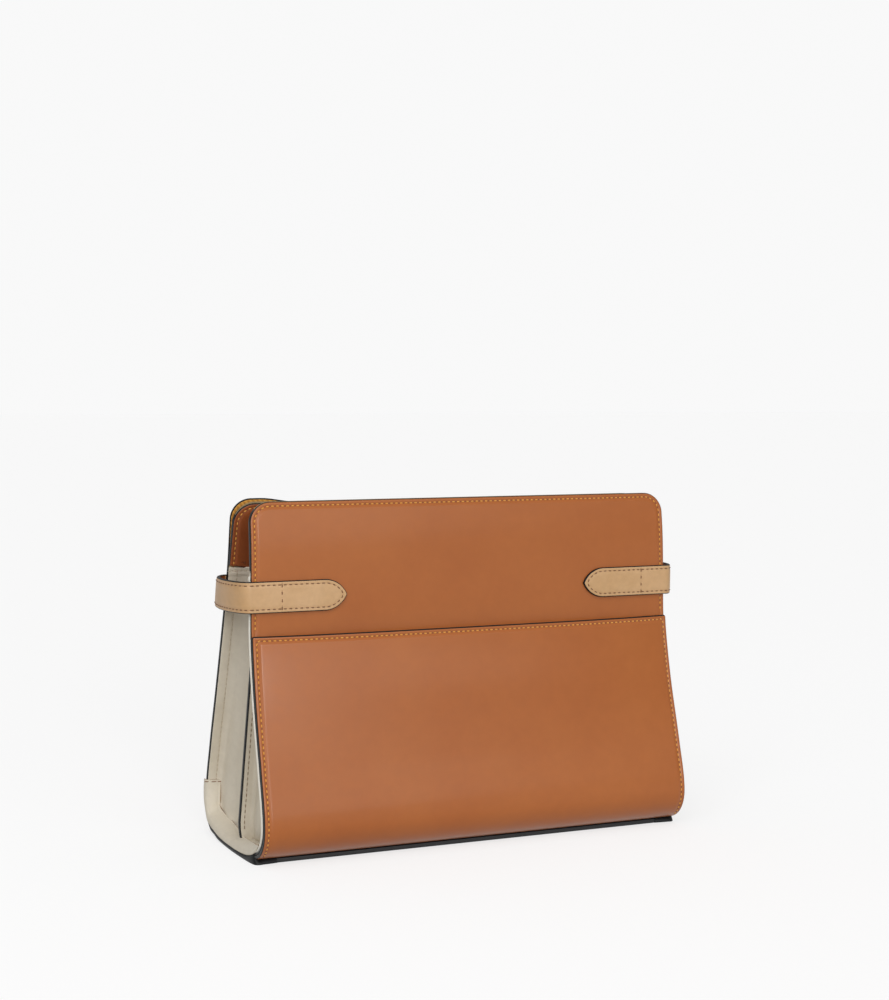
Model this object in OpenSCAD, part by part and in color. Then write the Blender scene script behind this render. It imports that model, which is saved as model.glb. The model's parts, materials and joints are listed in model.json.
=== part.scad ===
// Structured leather shoulder bag: two curved walls, a pleated gusset on each side,
// a centre divider, a slip pocket on the front and on the back, and a strap round each side.
// X runs along the width, the front faces -Y, and the origin is under the middle of the base.

/* [Overall] */
// Width of the walls at the top
bag_w = 300; // [270:5:330]
// Height to the top of the front wall
bag_h = 229; // [215:1:250]
// Depth at the widest place, low on the walls
bag_depth = 127.5; // [116:0.5:140]
// How much further out each side stands at the base than at the top
side_flare = 2; // [1:0.5:3]
// How much lower the back wall stands than the front wall
back_drop = 1.5; // [0:0.5:3]
// Radius of the top corners of both walls
top_corner_r = 13.5; // [10:0.5:18]
// Outer radius of the fold from each wall into the base
fold_r = 22; // [19:1:25]

/* [Leather and lining] */
// Thickness of the outer leather of the walls
panel_t = 1.6; // [1.4:0.1:1.8]
// Thickness of the board that stiffens each wall
board_t = 1; // [0.8:0.1:1.2]
// Thickness of the leather facing inside each wall's top
facing_t = 1.2; // [1:0.1:1.4]
// Thickness of the lining cloth
lining_t = 0.5; // [0.4:0.1:0.6]
// Thickness of the leather between the back slip pocket and the inside
inner_panel_t = 1; // [0.8:0.1:1.2]
// How far the facings reach below the gusset's top
facing_lap = 28; // [20:1:40]
// Thickness of the gusset leather
gusset_t = 0.9; // [0.7:0.1:1.1]

/* [Pockets] */
// Height of the front pocket's top edge
pocket_h = 143; // [130:1:150]
// How far the middle of the front pocket's mouth bows out
pocket_bow = 6; // [5:0.5:8]
// How far the corners of the back pocket's mouth stand off
slip_stand_off = 4; // [3:0.5:5]
// How much further the middle of the back pocket's mouth stands off
slip_bow = 3.5; // [2.5:0.5:5]

/* [Gusset and divider] */
// Height of the gusset's top edge
gusset_h = 182; // [172:1:188]
// Width of the flanges that are sewn to the walls and to the divider
flange_w = 8; // [6:0.5:9]
// Depth of the pleats behind the wall edges at the top
pleat_top = 34; // [30:1:38]
// Depth of the pleats behind the wall edges at the base
pleat_low = 12; // [11:0.5:14]
// How far the middle ridge lies behind the wall edges at the top
ridge_top = 12.6; // [9:0.1:15]
// How far the middle ridge lies behind the wall edges at the base
ridge_low = 2.4; // [2.2:0.1:3]
// Thickness of the divider
divider_t = 1; // [0.8:0.1:1.2]
// How far the divider's top stays below the gusset's top
divider_drop = 4; // [2:0.5:8]
// Height of the leather binding on the divider's top
binding_h = 8; // [6:0.5:12]
// Thickness of the binding's leather
binding_t = 0.7; // [0.5:0.1:0.9]

/* [Base] */
// Thickness of the black base leather
base_t = 2.9; // [2.4:0.1:3.4]
// How far the base leather reaches under the fold of each wall
base_lip = 4.25; // [2:0.25:6]
// Radius of the base corners
base_corner_r = 12; // [6:1:18]
// Thickness of the stiff board on the base
base_board_t = 2; // [1.5:0.1:2.5]
// How far the base bows out in the middle of each short side
base_bow = 2.5; // [1.5:0.5:3.5]
// Thickness of the bands along the foot of the gussets
foot_t = 1.4; // [1.2:0.1:1.6]
// Height of the foot bands beside the back wall
foot_side_h = 35; // [30:1:40]
// Height of the foot bands' corner beside that upright
foot_corner_h = 20; // [16:1:24]
// Height of the foot bands at the middle ridge
foot_mid_h = 9; // [7:0.5:12]
// Height of the foot bands beside the front wall
foot_front_h = 13; // [11:0.5:16]
// Width of the foot bands' upright
foot_upright_w = 10.5; // [8:0.5:13]

/* [Straps] */
// Width of the side straps
strap_w = 20; // [16:1:22]
// How far the straps' middle line lies below the gusset's top
strap_drop = 13.5; // [11.5:0.5:16]
// Thickness of the straps' outer leather
strap_t = 1.2; // [1:0.1:1.4]
// Thickness of the straps' lining leather
strap_lining_t = 1; // [0.8:0.1:1.2]
// Distance from the middle of the bag to the tip of each sewn tab
tab_tip_x = 86.5; // [80:0.5:95]
// Length of the pointed end of each tab
tab_point = 13; // [11:0.5:15]
// Straight run of each strap past the wall's edge
strap_run = 1; // [0.8:0.1:1.4]
// How far each strap stands out past the wall's edge
strap_reach = 12; // [10:0.5:14]

/* [Magnets] */
// Radius of the magnets hidden in the walls
magnet_r = 8; // [6:0.5:9]
// Thickness of the magnets
magnet_t = 0.7; // [0.5:0.05:0.75]
// Distance from the magnets' middle to the wall's top
magnet_drop = 24; // [20:1:28]

/* [Fits] */
// Gap of the glue between layers
glue = 0.05; // [0.04:0.01:0.08]
// Gap between pieces that lie on each other
seat_gap = 0.3; // [0.25:0.05:0.35]
// Gap between the walls and what stands beside their folds
fold_gap = 0.9; // [0.8:0.1:1.1]
// Gap between the walls' lower ends and the base board
end_gap = 2; // [1.8:0.1:2.4]
// Gap round the magnets in their boards
magnet_gap = 0.2; // [0.15:0.05:0.3]

/* [Hidden] */

// Each wall's outer line from the widest place to the top: height share, then depth share
front_line_shares = [[0, 1], [0.17, 0.886], [0.37, 0.713], [0.56, 0.601], [0.71, 0.591],
    [0.86, 0.58], [1, 0.533]];
back_line_shares = [[0, 1], [0.17, 0.869], [0.37, 0.654], [0.56, 0.458], [0.71, 0.314],
    [0.86, 0.187], [1, 0.053]];
// Heights between which the front pocket's bow grows, as shares of the pocket's height
bow_start_share = 0.35;
bow_full_share = 0.8;

curve_steps = 6;
fold_steps = 8;
front_rows = 20;
back_rows = 16;
corner_rows = 4;
row_gap = 2;
columns = 12;
bend_steps = 10;
round_fn = 64;
overrun = 5;

back_h = bag_h - back_drop;
strap_z = gusset_h - strap_drop;
facing_low_z = gusset_h - facing_lap;
hinge_y = bag_depth / 2 - fold_r;
hinge_z = base_t + seat_gap + fold_r;
pocket_stack = panel_t + glue + lining_t + seat_gap;
front_stack = pocket_stack + panel_t;
back_stack = pocket_stack + inner_panel_t;
base_board_z = base_t + seat_gap;
base_lining_z = base_board_z + base_board_t + glue;
floor_z = base_lining_z + lining_t;
foot_inner_x = bag_w / 2 + side_flare - foot_t;
gusset_edge = foot_t + seat_gap;
lining_half_w = bag_w / 2 - gusset_edge - flange_w - facing_t * 4;
gusset_low_z = floor_z + seat_gap;
divider_h = gusset_h - divider_drop - binding_t - gusset_low_z;
strap_total_t = strap_t + glue + strap_lining_t;

function half_w(z) = bag_w / 2 + side_flare * (1 - z / bag_h);
function mix(a, b, t) = a + (b - a) * t;
function eased(t) = let (s = min(max(t, 0), 1)) s * s * (3 - 2 * s);
function backwards(list) = [for (i = [len(list) - 1 : -1 : 0]) list[i]];
function joined(lists) = [for (l = lists) for (p = l) p];

// A smooth curve through four stations, from the second to the third
function spline(a, b, c, d, t) = 0.5 * (2 * b + (c - a) * t + (2 * a - 5 * b + 4 * c - d) * t * t
    + (3 * b - a - 3 * c + d) * t * t * t);

// A wall's outer line as a table of height and depth, run on past its top
function wall_table(shares) = let (
    rise = bag_h - hinge_z,
    st = [for (s = shares) [hinge_z + s[0] * rise, s[1] * bag_depth / 2]],
    last = len(st) - 1,
    end = st[last] + (st[last] - st[last - 1]) * overrun / (st[last][0] - st[last - 1][0]),
    all = concat([[2 * hinge_z - st[1][0], st[1][1]]], st, [end]))
    concat([for (i = [1 : last]) for (k = [0 : curve_steps - 1])
        spline(all[i - 1], all[i], all[i + 1], all[i + 2], k / curve_steps)], [st[last], end]);

// A wall's outer line as points of depth and height, from the fold's lower end up
function wall_path(table, heights) = concat(
    [for (i = [0 : fold_steps - 1]) let (a = 90 * i / fold_steps - 90)
        [hinge_y + fold_r * cos(a), hinge_z + fold_r * sin(a)]],
    [for (z = heights) [lookup(z, table), z]]);

function path_way(p, i) = i == 0 ? [1, 0]
    : i == len(p) - 1 ? (p[i] - p[i - 1]) / norm(p[i] - p[i - 1])
    : (p[i + 1] - p[i - 1]) / norm(p[i + 1] - p[i - 1]);
// The line moved into the wall by the given depth
function inset(p, depth) = [for (i = [0 : len(p) - 1]) let (w = path_way(p, i))
    p[i] - depth * [w[1], -w[0]]];
// Depth of a line at each height, as a table
function depth_table(p) = [for (q = p) [q[1], q[0]]];

function even_heights(top, rows) = [for (i = [0 : rows]) mix(hinge_z, top, i / rows)];
// The heights with one more among them, and none close beside it
function with_row(heights, row) = concat([for (z = heights) if (z < row - row_gap) z], [row],
    [for (z = heights) if (z > row + row_gap) z]);

front_table = wall_table(front_line_shares);
back_table = wall_table(back_line_shares);
front_heights = with_row(even_heights(bag_h + overrun, front_rows), pocket_h);
slip_heights = with_row(concat(even_heights(back_h - top_corner_r, back_rows),
    [for (i = [1 : corner_rows]) back_h - top_corner_r * (1 - sin(90 * i / corner_rows))]),
    gusset_h);
front_path = wall_path(front_table, front_heights);
back_path = wall_path(back_table, concat(slip_heights, [bag_h + overrun]));
front_inside = depth_table(inset(front_path, front_stack));
back_inside = depth_table(inset(back_path, back_stack));

// Depth of a wall's inner face, kept clear of the base board below the fold
function fold_low(table) = table[0][0] + seat_gap;
function inside_at(z, table) = z > fold_low(table) ? lookup(z, table) : hinge_y - end_gap;

// The divider leans to stay midway between the walls
divider_lean = atan((lookup(gusset_h, front_inside) - lookup(gusset_h, back_inside)) / 2
    / (gusset_h - gusset_low_z));
function ridge_y(z) = -(z - gusset_low_z) * tan(divider_lean);
function ridge_x(z) = half_w(z) - mix(ridge_low, ridge_top, z / gusset_h);
function pleat_x(z) = half_w(z) - mix(pleat_low, pleat_top, z / gusset_h);

// A curved layer of a wall between two depths, as wide as the bag
module wall_band(path, from, to) {
    rotate([90, 0, 90])
        linear_extrude(height = bag_w + 4 * side_flare + 2 * overrun, center = true)
            polygon(concat(inset(path, from), backwards(inset(path, to))));
}

// Cuts a wall's layer to an outline seen from the front
module cut_to() {
    intersection() {
        children(0);
        rotate([90, 0, 0])
            linear_extrude(height = bag_depth + 2 * overrun, center = true)
                children(1);
    }
}

// The wall seen from the front, with round top corners
module wall_outline(top, margin = 0) {
    edge = half_w(top - top_corner_r) - margin;
    r = top_corner_r - margin;
    low = half_w(0) - margin;
    polygon([[-low, 0], [low, 0], [edge, top - top_corner_r], [-edge, top - top_corner_r]]);
    translate([-edge + r, 0])
        square([2 * (edge - r), top - margin]);
    for (side = [-1, 1])
        translate([side * (edge - r), top - top_corner_r])
            circle(r = r, $fn = round_fn);
}

// The same above the gusset, and narrower from there down to a given height
module stepped_outline(top, low, margin = 0) {
    intersection() {
        wall_outline(top, margin);
        translate([-bag_w, gusset_h + seat_gap])
            square([2 * bag_w, bag_h]);
    }
    translate([-lining_half_w, low])
        square([2 * lining_half_w, gusset_h + seat_gap + overrun - low]);
}

module lining_outline() {
    translate([-lining_half_w, 0])
        square([2 * lining_half_w, facing_low_z - glue]);
}

// A closed sheet between two grids of points, the outer one seen from outside
module sheet(outer, inner) {
    rows = len(outer);
    cols = len(outer[0]);
    count = rows * cols;
    faces = concat(
        [for (i = [0 : rows - 2]) for (j = [0 : cols - 2]) let (a = i * cols + j, b = a + cols)
            each [[a, b, b + 1], [a, b + 1, a + 1],
                [count + a, count + b + 1, count + b], [count + a, count + a + 1, count + b + 1]]],
        [for (j = [0 : cols - 2]) let (a = j, b = (rows - 1) * cols + j)
            each [[a, a + 1, count + a + 1], [a, count + a + 1, count + a],
                [b + 1, b, count + b], [b + 1, count + b, count + b + 1]]],
        [for (i = [0 : rows - 2]) let (a = i * cols, b = a + cols, c = a + cols - 1, d = c + cols)
            each [[b, a, count + a], [b, count + a, count + b],
                [c, d, count + d], [c, count + d, count + c]]]);
    polyhedron(points = concat(joined(outer), joined(inner)), faces = faces);
}

// Points of one row of a bowed wall layer, on the front side
function layer_row(q, bow, wide) = [for (j = [0 : columns]) let (u = 2 * j / columns - 1)
    [u * wide, -q[0] - bow[0] - bow[1] * (1 - u * u * u * u), q[1]]];

// Front pocket: its bow grows towards the mouth
function pocket_bow_at(z) = [0, pocket_bow * eased(
    (z / pocket_h - bow_start_share) / (bow_full_share - bow_start_share))];
pocket_path = wall_path(front_table, [for (z = front_heights) if (z <= pocket_h) z]);
function pocket_grid(depth, margin) = [for (q = inset(pocket_path, depth))
    layer_row(q, pocket_bow_at(q[1]), half_w(q[1]) - margin)];

// Back slip pocket: the layer stands off above the gusset and follows the round corners
function slip_off_at(z) = let (t = eased((z - gusset_h) / (back_h - gusset_h)))
    [slip_stand_off * t, slip_bow * t];
slip_path = wall_path(back_table, slip_heights);
function slip_half_w(z, margin) = let (up = z - back_h + top_corner_r, r = top_corner_r)
    up <= 0 ? half_w(z) - margin
    : half_w(z) - margin - r + sqrt(max(r * r - up * up, 0));
function slip_grid(depth, margin) = let (p = inset(slip_path, depth))
    [for (i = [0 : len(p) - 1]) layer_row(p[i], slip_off_at(slip_path[i][1]),
        slip_half_w(slip_path[i][1], margin))];

// Gusset: seen from above, from the wall's edge into the pleat and out to the ridge
function pleat_line(z, wall, ridge) = let (
    edge = half_w(z) - gusset_edge,
    wall_face = seat_gap - inside_at(z, wall),
    ridge_face = ridge - divider_t / 2 - glue)
    [[edge, wall_face], [edge - flange_w, wall_face],
        [pleat_x(z), mix(wall_face, ridge_face, 0.5)],
        [ridge_x(z) - flange_w, ridge_face], [ridge_x(z), ridge_face]];
function line_way(p, i) = (p[i + 1] - p[i]) / norm(p[i + 1] - p[i]);
// The line moved sideways by one thickness, with mitred corners
function thickened(p, t) = [for (i = [0 : len(p) - 1]) let (
    a = line_way(p, max(i - 1, 0)), b = line_way(p, min(i, len(p) - 2)))
    p[i] + t / (1 + a * b) * [a[1] + b[1], -a[0] - b[0]]];
// The gusset's rows keep to the wall's own rows
function gusset_heights(wall) = concat([gusset_low_z, fold_low(wall)],
    [for (w = wall) if (w[0] > fold_low(wall) + seat_gap && w[0] < gusset_h - row_gap) w[0]],
    [gusset_h]);

module gusset_half(wall, lean_side) {
    heights = gusset_heights(wall);
    lines = [for (z = heights) pleat_line(z, wall, lean_side * ridge_y(z))];
    last = len(heights) - 1;
    sheet([for (i = [0 : last]) [for (q = thickened(lines[i], gusset_t)) [q[0], q[1], heights[i]]]],
        [for (i = [0 : last]) [for (q = lines[i]) [q[0], q[1], heights[i]]]]);
}

// A band along the foot of one gusset, with an upright beside the back wall
module foot_band() {
    front_low = inset(front_path, front_stack + fold_gap);
    back_low = inset(back_path, back_stack + fold_gap);
    back_y = lookup(foot_side_h, depth_table(back_low)) - foot_upright_w;
    translate([foot_inner_x, 0, 0])
        rotate([90, 0, 90])
            linear_extrude(height = foot_t)
                difference() {
                    union() {
                        intersection() {
                            polygon(concat([for (q = backwards(front_low)) [-q[0], q[1]]], back_low));
                            translate([-bag_depth / 2, 0])
                                square([bag_depth, foot_side_h]);
                        }
                        translate([-hinge_y + end_gap, base_board_z])
                            square([2 * (hinge_y - end_gap), foot_mid_h]);
                    }
                    polygon([[-bag_depth / 2, foot_side_h + overrun], [-bag_depth / 2, foot_front_h],
                        [0, foot_mid_h], [back_y, foot_corner_h], [back_y, foot_side_h + overrun]]);
                }
}

// Puts a flat piece on a wall's outer face at a height, tilted with the wall
module on_wall(table, z, side, depth) {
    lean = atan((lookup(z + strap_w / 2, table) - lookup(z - strap_w / 2, table)) / strap_w);
    translate([0, side * (lookup(z, table) - depth / cos(lean)), z])
        rotate([-side * lean, 0, 0])
            children();
}

// A sewn tab of a strap, pointed at the end nearest the middle of the bag
module strap_tab(side) {
    bow_r = (tab_point * tab_point + strap_w * strap_w / 4) / strap_w;
    end_x = bag_w / 2 + strap_run;
    translate([0, side < 0 ? -seat_gap : seat_gap + strap_total_t, 0])
        rotate([90, 0, 0])
            linear_extrude(height = strap_total_t) {
                translate([tab_tip_x + tab_point, -strap_w / 2])
                    square([end_x - tab_tip_x - tab_point, strap_w]);
                intersection() {
                    point_arc(bow_r, 1);
                    point_arc(bow_r, -1);
                    translate([tab_tip_x, -strap_w / 2])
                        square([tab_point + overrun, strap_w]);
                }
            }
}

module point_arc(r, way) {
    translate([tab_tip_x + tab_point, way * (r - strap_w / 2)])
        circle(r = r, $fn = round_fn);
}

// The free part of a strap, round the side from the front tab to the back tab
module strap_bend(from, to) {
    sheet([for (end = [-1, 1]) bend_row(end, from)], [for (end = [-1, 1]) bend_row(end, to)]);
}
// Half an oval seen from above, moved in by the given depth
function bend_row(end, depth) = let (
    z = strap_z + end * strap_w / 2,
    front_y = -(lookup(z, front_table) - pocket_stack + seat_gap + strap_total_t),
    back_y = lookup(z, back_table) + seat_gap + strap_total_t,
    start = bag_w / 2 + strap_run + seat_gap,
    reach = bag_w / 2 + strap_reach - start,
    span = (back_y - front_y) / 2)
    [for (i = [-bend_steps : bend_steps]) let (
        a = 90 * i / bend_steps,
        out = [span * cos(a), reach * sin(a)] / norm([span * cos(a), reach * sin(a)]))
        [start + reach * cos(a) - depth * out[0],
            (front_y + back_y) / 2 + span * sin(a) - depth * out[1], z]];

module to_front() { mirror([0, 1, 0]) children(); }
module to_left() { mirror([1, 0, 0]) children(); }

// The base seen from above, with round corners and bowed short sides
module base_outline(half_x, half_y, r) {
    chord = half_y - r;
    bow_r = (chord * chord + base_bow * base_bow) / (2 * base_bow);
    square([2 * (half_x - r), 2 * half_y], center = true);
    for (x = [-1, 1], y = [-1, 1])
        translate([x * (half_x - r), y * (half_y - r)])
            circle(r = r, $fn = round_fn);
    intersection() {
        square([2 * (half_x + base_bow), 2 * chord], center = true);
        translate([half_x + base_bow - bow_r, 0])
            circle(r = bow_r, $fn = 4 * round_fn);
        translate([bow_r - half_x - base_bow, 0])
            circle(r = bow_r, $fn = 4 * round_fn);
    }
}

module base_panel() {
    color("#1d1f21")
        linear_extrude(height = base_t)
            base_outline(bag_w / 2 + side_flare - foot_t / 2, hinge_y + base_lip, base_corner_r);
}

module base_board() {
    color("#b39a72")
        translate([-foot_inner_x + seat_gap, -hinge_y + end_gap, base_board_z])
            cube([2 * (foot_inner_x - seat_gap), 2 * (hinge_y - end_gap), base_board_t]);
}

module base_lining() {
    color("#b9a678")
        translate([-foot_inner_x + seat_gap, -hinge_y + end_gap, base_lining_z])
            cube([2 * (foot_inner_x - seat_gap), 2 * (hinge_y - end_gap), lining_t]);
}

module divider() {
    top = gusset_low_z + divider_h;
    color("#c2b49c")
        translate([0, 0, gusset_low_z])
            rotate([90 + divider_lean, 0, 0])
                linear_extrude(height = divider_t, center = true)
                    polygon([[-ridge_x(gusset_low_z), 0], [ridge_x(gusset_low_z), 0],
                        [ridge_x(top), divider_h], [-ridge_x(top), divider_h]]);
}

module divider_binding() {
    top = gusset_low_z + divider_h;
    half = ridge_x(top) - flange_w - gusset_t * 2;
    outer_t = divider_t + 2 * (glue + binding_t);
    color("#a5673d")
        translate([0, 0, gusset_low_z])
            rotate([divider_lean, 0, 0])
                translate([-half, 0, divider_h])
                    difference() {
                        translate([0, -outer_t / 2, -binding_h])
                            cube([2 * half, outer_t, binding_h + glue + binding_t]);
                        translate([-overrun, -divider_t / 2 - glue, -binding_h - overrun])
                            cube([2 * (half + overrun), divider_t + 2 * glue, binding_h + overrun + glue]);
                    }
}

module right_gusset_front() { color("#c2b6a2") gusset_half(front_inside, 1); }
module left_gusset_front() { to_left() right_gusset_front(); }
module right_gusset_back() { color("#b8ac98") to_front() gusset_half(back_inside, -1); }
module left_gusset_back() { to_left() right_gusset_back(); }
module right_foot_band() { color("#cfc5b1") foot_band(); }
module left_foot_band() { to_left() right_foot_band(); }

module right_strap_loop() { color("#c8a67c") strap_bend(0, strap_t); }
module left_strap_loop() { to_left() right_strap_loop(); }
module right_loop_lining() { color("#a86c43") strap_bend(strap_t + glue, strap_total_t); }
module left_loop_lining() { to_left() right_loop_lining(); }
module right_strap_front() {
    color("#c8a67c") on_wall(front_table, strap_z, -1, pocket_stack) strap_tab(-1);
}
module left_strap_front() { to_left() right_strap_front(); }
module right_strap_back() {
    color("#c8a67c") on_wall(back_table, strap_z, 1, 0) strap_tab(1);
}
module left_strap_back() { to_left() right_strap_back(); }

module front_panel() {
    color("#a8673f") to_front() cut_to() {
        wall_band(front_path, pocket_stack, front_stack);
        wall_outline(bag_h);
    }
}

// A board with a round hole for its magnet
module wall_board(path, table, stack, top) {
    difference() {
        cut_to() {
            wall_band(path, stack + glue, stack + glue + board_t);
            stepped_outline(top, 0, glue * 4);
        }
        on_wall(table, top - magnet_drop, 1, stack + glue + board_t / 2)
            rotate([90, 0, 0])
                cylinder(r = magnet_r + magnet_gap, h = 4 * board_t, center = true, $fn = round_fn);
    }
}

module wall_magnet(table, stack, top) {
    on_wall(table, top - magnet_drop, 1, stack + glue + board_t / 2)
        rotate([90, 0, 0])
            cylinder(r = magnet_r, h = magnet_t, center = true, $fn = round_fn);
}

// The layer inside the board: leather facing above, lining cloth below
module wall_facing(path, stack, top) {
    from = stack + 2 * glue + board_t;
    cut_to() {
        wall_band(path, from, from + facing_t);
        stepped_outline(top, facing_low_z);
    }
}

module wall_lining(path, stack) {
    from = stack + 2 * glue + board_t;
    cut_to() {
        wall_band(path, from, from + lining_t);
        lining_outline();
    }
}

module front_board() {
    color("#9c8b6d") to_front() wall_board(front_path, front_table, front_stack, bag_h);
}
module front_facing() { color("#8f5735") to_front() wall_facing(front_path, front_stack, bag_h); }
module front_lining() { color("#b98a45") to_front() wall_lining(front_path, front_stack); }
module front_magnet() {
    color("#8d9194") to_front() wall_magnet(front_table, front_stack, bag_h);
}
module front_pocket() { color("#a8673f") sheet(pocket_grid(0, 0), pocket_grid(panel_t, 0)); }
module front_pocket_lining() {
    from = panel_t + glue;
    color("#b98a45")
        sheet(pocket_grid(from, gusset_edge), pocket_grid(from + lining_t, gusset_edge));
}

module back_panel() { color("#a8673f") to_front() sheet(slip_grid(0, 0), slip_grid(panel_t, 0)); }
module back_pocket_lining() {
    from = panel_t + glue;
    color("#be873c") to_front()
        sheet(slip_grid(from, glue), slip_grid(from + lining_t, glue));
}
module back_inner_panel() {
    color("#9b5f39") cut_to() {
        wall_band(back_path, pocket_stack, back_stack);
        wall_outline(back_h);
    }
}
module back_board() { color("#9c8b6d") wall_board(back_path, back_table, back_stack, back_h); }
module back_facing() { color("#8f5735") wall_facing(back_path, back_stack, back_h); }
module back_lining() { color("#b98a45") wall_lining(back_path, back_stack); }
module back_magnet() { color("#8d9194") wall_magnet(back_table, back_stack, back_h); }

base_panel();
base_board();
base_lining();
divider();
divider_binding();
left_gusset_front();
left_gusset_back();
right_gusset_front();
right_gusset_back();
left_foot_band();
right_foot_band();
left_strap_loop();
right_strap_loop();
left_loop_lining();
right_loop_lining();
front_panel();
front_board();
front_facing();
front_lining();
front_magnet();
front_pocket();
front_pocket_lining();
left_strap_front();
right_strap_front();
back_panel();
back_pocket_lining();
back_inner_panel();
back_board();
back_facing();
back_lining();
back_magnet();
left_strap_back();
right_strap_back();
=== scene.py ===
# Structured leather shoulder bag: skins, linings, gussets, straps, thread and finishes.
# Sizes are in millimetres until a mesh is made, and meshes are in metres.
import json
import math

import bmesh
import bpy
import numpy as np
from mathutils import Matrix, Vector


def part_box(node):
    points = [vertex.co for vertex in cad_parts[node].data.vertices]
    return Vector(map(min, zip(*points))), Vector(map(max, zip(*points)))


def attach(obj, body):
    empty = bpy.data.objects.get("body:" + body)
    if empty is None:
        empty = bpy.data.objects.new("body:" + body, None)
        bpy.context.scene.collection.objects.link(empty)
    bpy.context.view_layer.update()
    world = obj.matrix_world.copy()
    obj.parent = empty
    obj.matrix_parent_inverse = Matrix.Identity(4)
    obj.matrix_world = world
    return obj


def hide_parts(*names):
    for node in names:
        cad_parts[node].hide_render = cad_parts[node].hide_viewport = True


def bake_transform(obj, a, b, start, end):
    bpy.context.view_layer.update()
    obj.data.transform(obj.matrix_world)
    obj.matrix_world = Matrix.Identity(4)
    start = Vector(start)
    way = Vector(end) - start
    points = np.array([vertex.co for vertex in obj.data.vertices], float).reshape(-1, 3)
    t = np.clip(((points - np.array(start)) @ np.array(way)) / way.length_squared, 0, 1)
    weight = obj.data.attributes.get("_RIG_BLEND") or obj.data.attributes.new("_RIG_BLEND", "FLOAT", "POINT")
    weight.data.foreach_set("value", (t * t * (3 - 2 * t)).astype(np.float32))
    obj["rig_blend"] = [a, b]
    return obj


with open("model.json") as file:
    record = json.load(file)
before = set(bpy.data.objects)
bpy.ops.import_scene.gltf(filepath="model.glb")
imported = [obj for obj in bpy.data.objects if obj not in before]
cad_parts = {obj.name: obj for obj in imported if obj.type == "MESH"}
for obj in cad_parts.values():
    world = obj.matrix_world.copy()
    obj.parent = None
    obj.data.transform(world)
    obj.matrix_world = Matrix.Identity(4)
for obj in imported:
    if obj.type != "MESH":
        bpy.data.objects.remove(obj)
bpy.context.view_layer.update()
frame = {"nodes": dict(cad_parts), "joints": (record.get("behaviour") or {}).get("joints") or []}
print("frame loaded:", len(frame["nodes"]), "nodes")


# The frame's own places, in millimetres
def boxOf(node):
    low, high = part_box(node)
    return np.array(low) * 1000, np.array(high) * 1000


hinges = {j["name"]: np.array(j["pos_m"]) * 1000 for j in frame["joints"]}
foldCentre = hinges["back_wall_flex"]
bag = {
    "halfWidth": 150,       # at the top
    "flare": 2,             # further out at the base, each side
    "foldRadius": 22,
    "cornerRadius": 13.5,
    "frontTop": boxOf("front_panel")[1][2],
    "backTop": boxOf("back_panel")[1][2],
    "halfDepth": boxOf("back_panel")[1][1],
    "pocketTop": boxOf("front_pocket")[1][2] + 0.7,
    "gussetTop": boxOf("left_gusset_front")[1][2] + 2,   # the hem stands this much proud of the solid
    "gussetLow": boxOf("left_gusset_front")[0][2],
    "dividerTop": boxOf("divider")[1][2],
    "frontShares": [[0, 1], [0.17, 0.886], [0.37, 0.713], [0.56, 0.601], [0.71, 0.591],
                    [0.86, 0.58], [1, 0.533]],
    "backShares": [[0, 1], [0.17, 0.869], [0.37, 0.654], [0.56, 0.458], [0.71, 0.314],
                   [0.86, 0.187], [1, 0.053]],
}
# Depths of the layers below each wall's outer line, outer and inner face
layers = {
    "skin": (0, 1.6), "pocketLining": (1.65, 2.15),
    "frontPanel": (2.45, 4.05), "frontLining": (5.15, 5.65), "frontFacing": (5.15, 6.35),
    "backInner": (2.45, 3.45), "backLining": (4.55, 5.05), "backFacing": (4.55, 5.75),
}


def smooth(t):
    t = np.clip(t, 0, 1)
    return t * t * (3 - 2 * t)


def halfWidthAt(z):
    return bag["halfWidth"] + bag["flare"] * (1 - z / bag["frontTop"])


def putInScene(name, data):
    added = bpy.data.objects.new(name, data)
    bpy.context.scene.collection.objects.link(added)
    return added


# Distance run so far at each point of a polyline
def wayAlong(points):
    return np.concatenate([[0], np.cumsum(np.linalg.norm(np.diff(points, axis=0), axis=1))])


# A smooth curve's point between b and c, which passes through all four
def curvePoint(a, b, c, d, t):
    return 0.5 * (2 * b + (c - a) * t + (2 * a - 5 * b + 4 * c - d) * t * t
                  + (3 * b - a - 3 * c + d) * t ** 3)


# Points from a to b on a bend drawn toward a third place
def bendPoints(a, toward, b, count):
    t = np.linspace(0, 1, count)[:, None]
    return (1 - t) ** 2 * a + 2 * t * (1 - t) * toward + t * t * b


# Colours and materials

def toLinear(hexColour):
    channels = [int(hexColour[i:i + 2], 16) / 255 for i in (1, 3, 5)]
    return [c / 12.92 if c <= 0.04045 else ((c + 0.055) / 1.055) ** 2.4 for c in channels] + [1]


def addNode(tree, kind, settings=None, inputs=None):
    node = tree.nodes.new(kind)
    for key, value in (settings or {}).items():
        setattr(node, key, value)
    for key, value in (inputs or {}).items():
        if isinstance(value, bpy.types.NodeSocket):
            tree.links.new(value, node.inputs[key])
        else:
            node.inputs[key].default_value = value
    return node


def newMaterial(name, uniform):
    material = bpy.data.materials.new(name)
    material.use_nodes = True
    shader = material.node_tree.nodes["Principled BSDF"]
    for key, value in uniform.items():
        shader.inputs[key].default_value = value
    place = addNode(material.node_tree, "ShaderNodeTexCoord").outputs["Object"]
    return material, material.node_tree, shader, place


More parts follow.
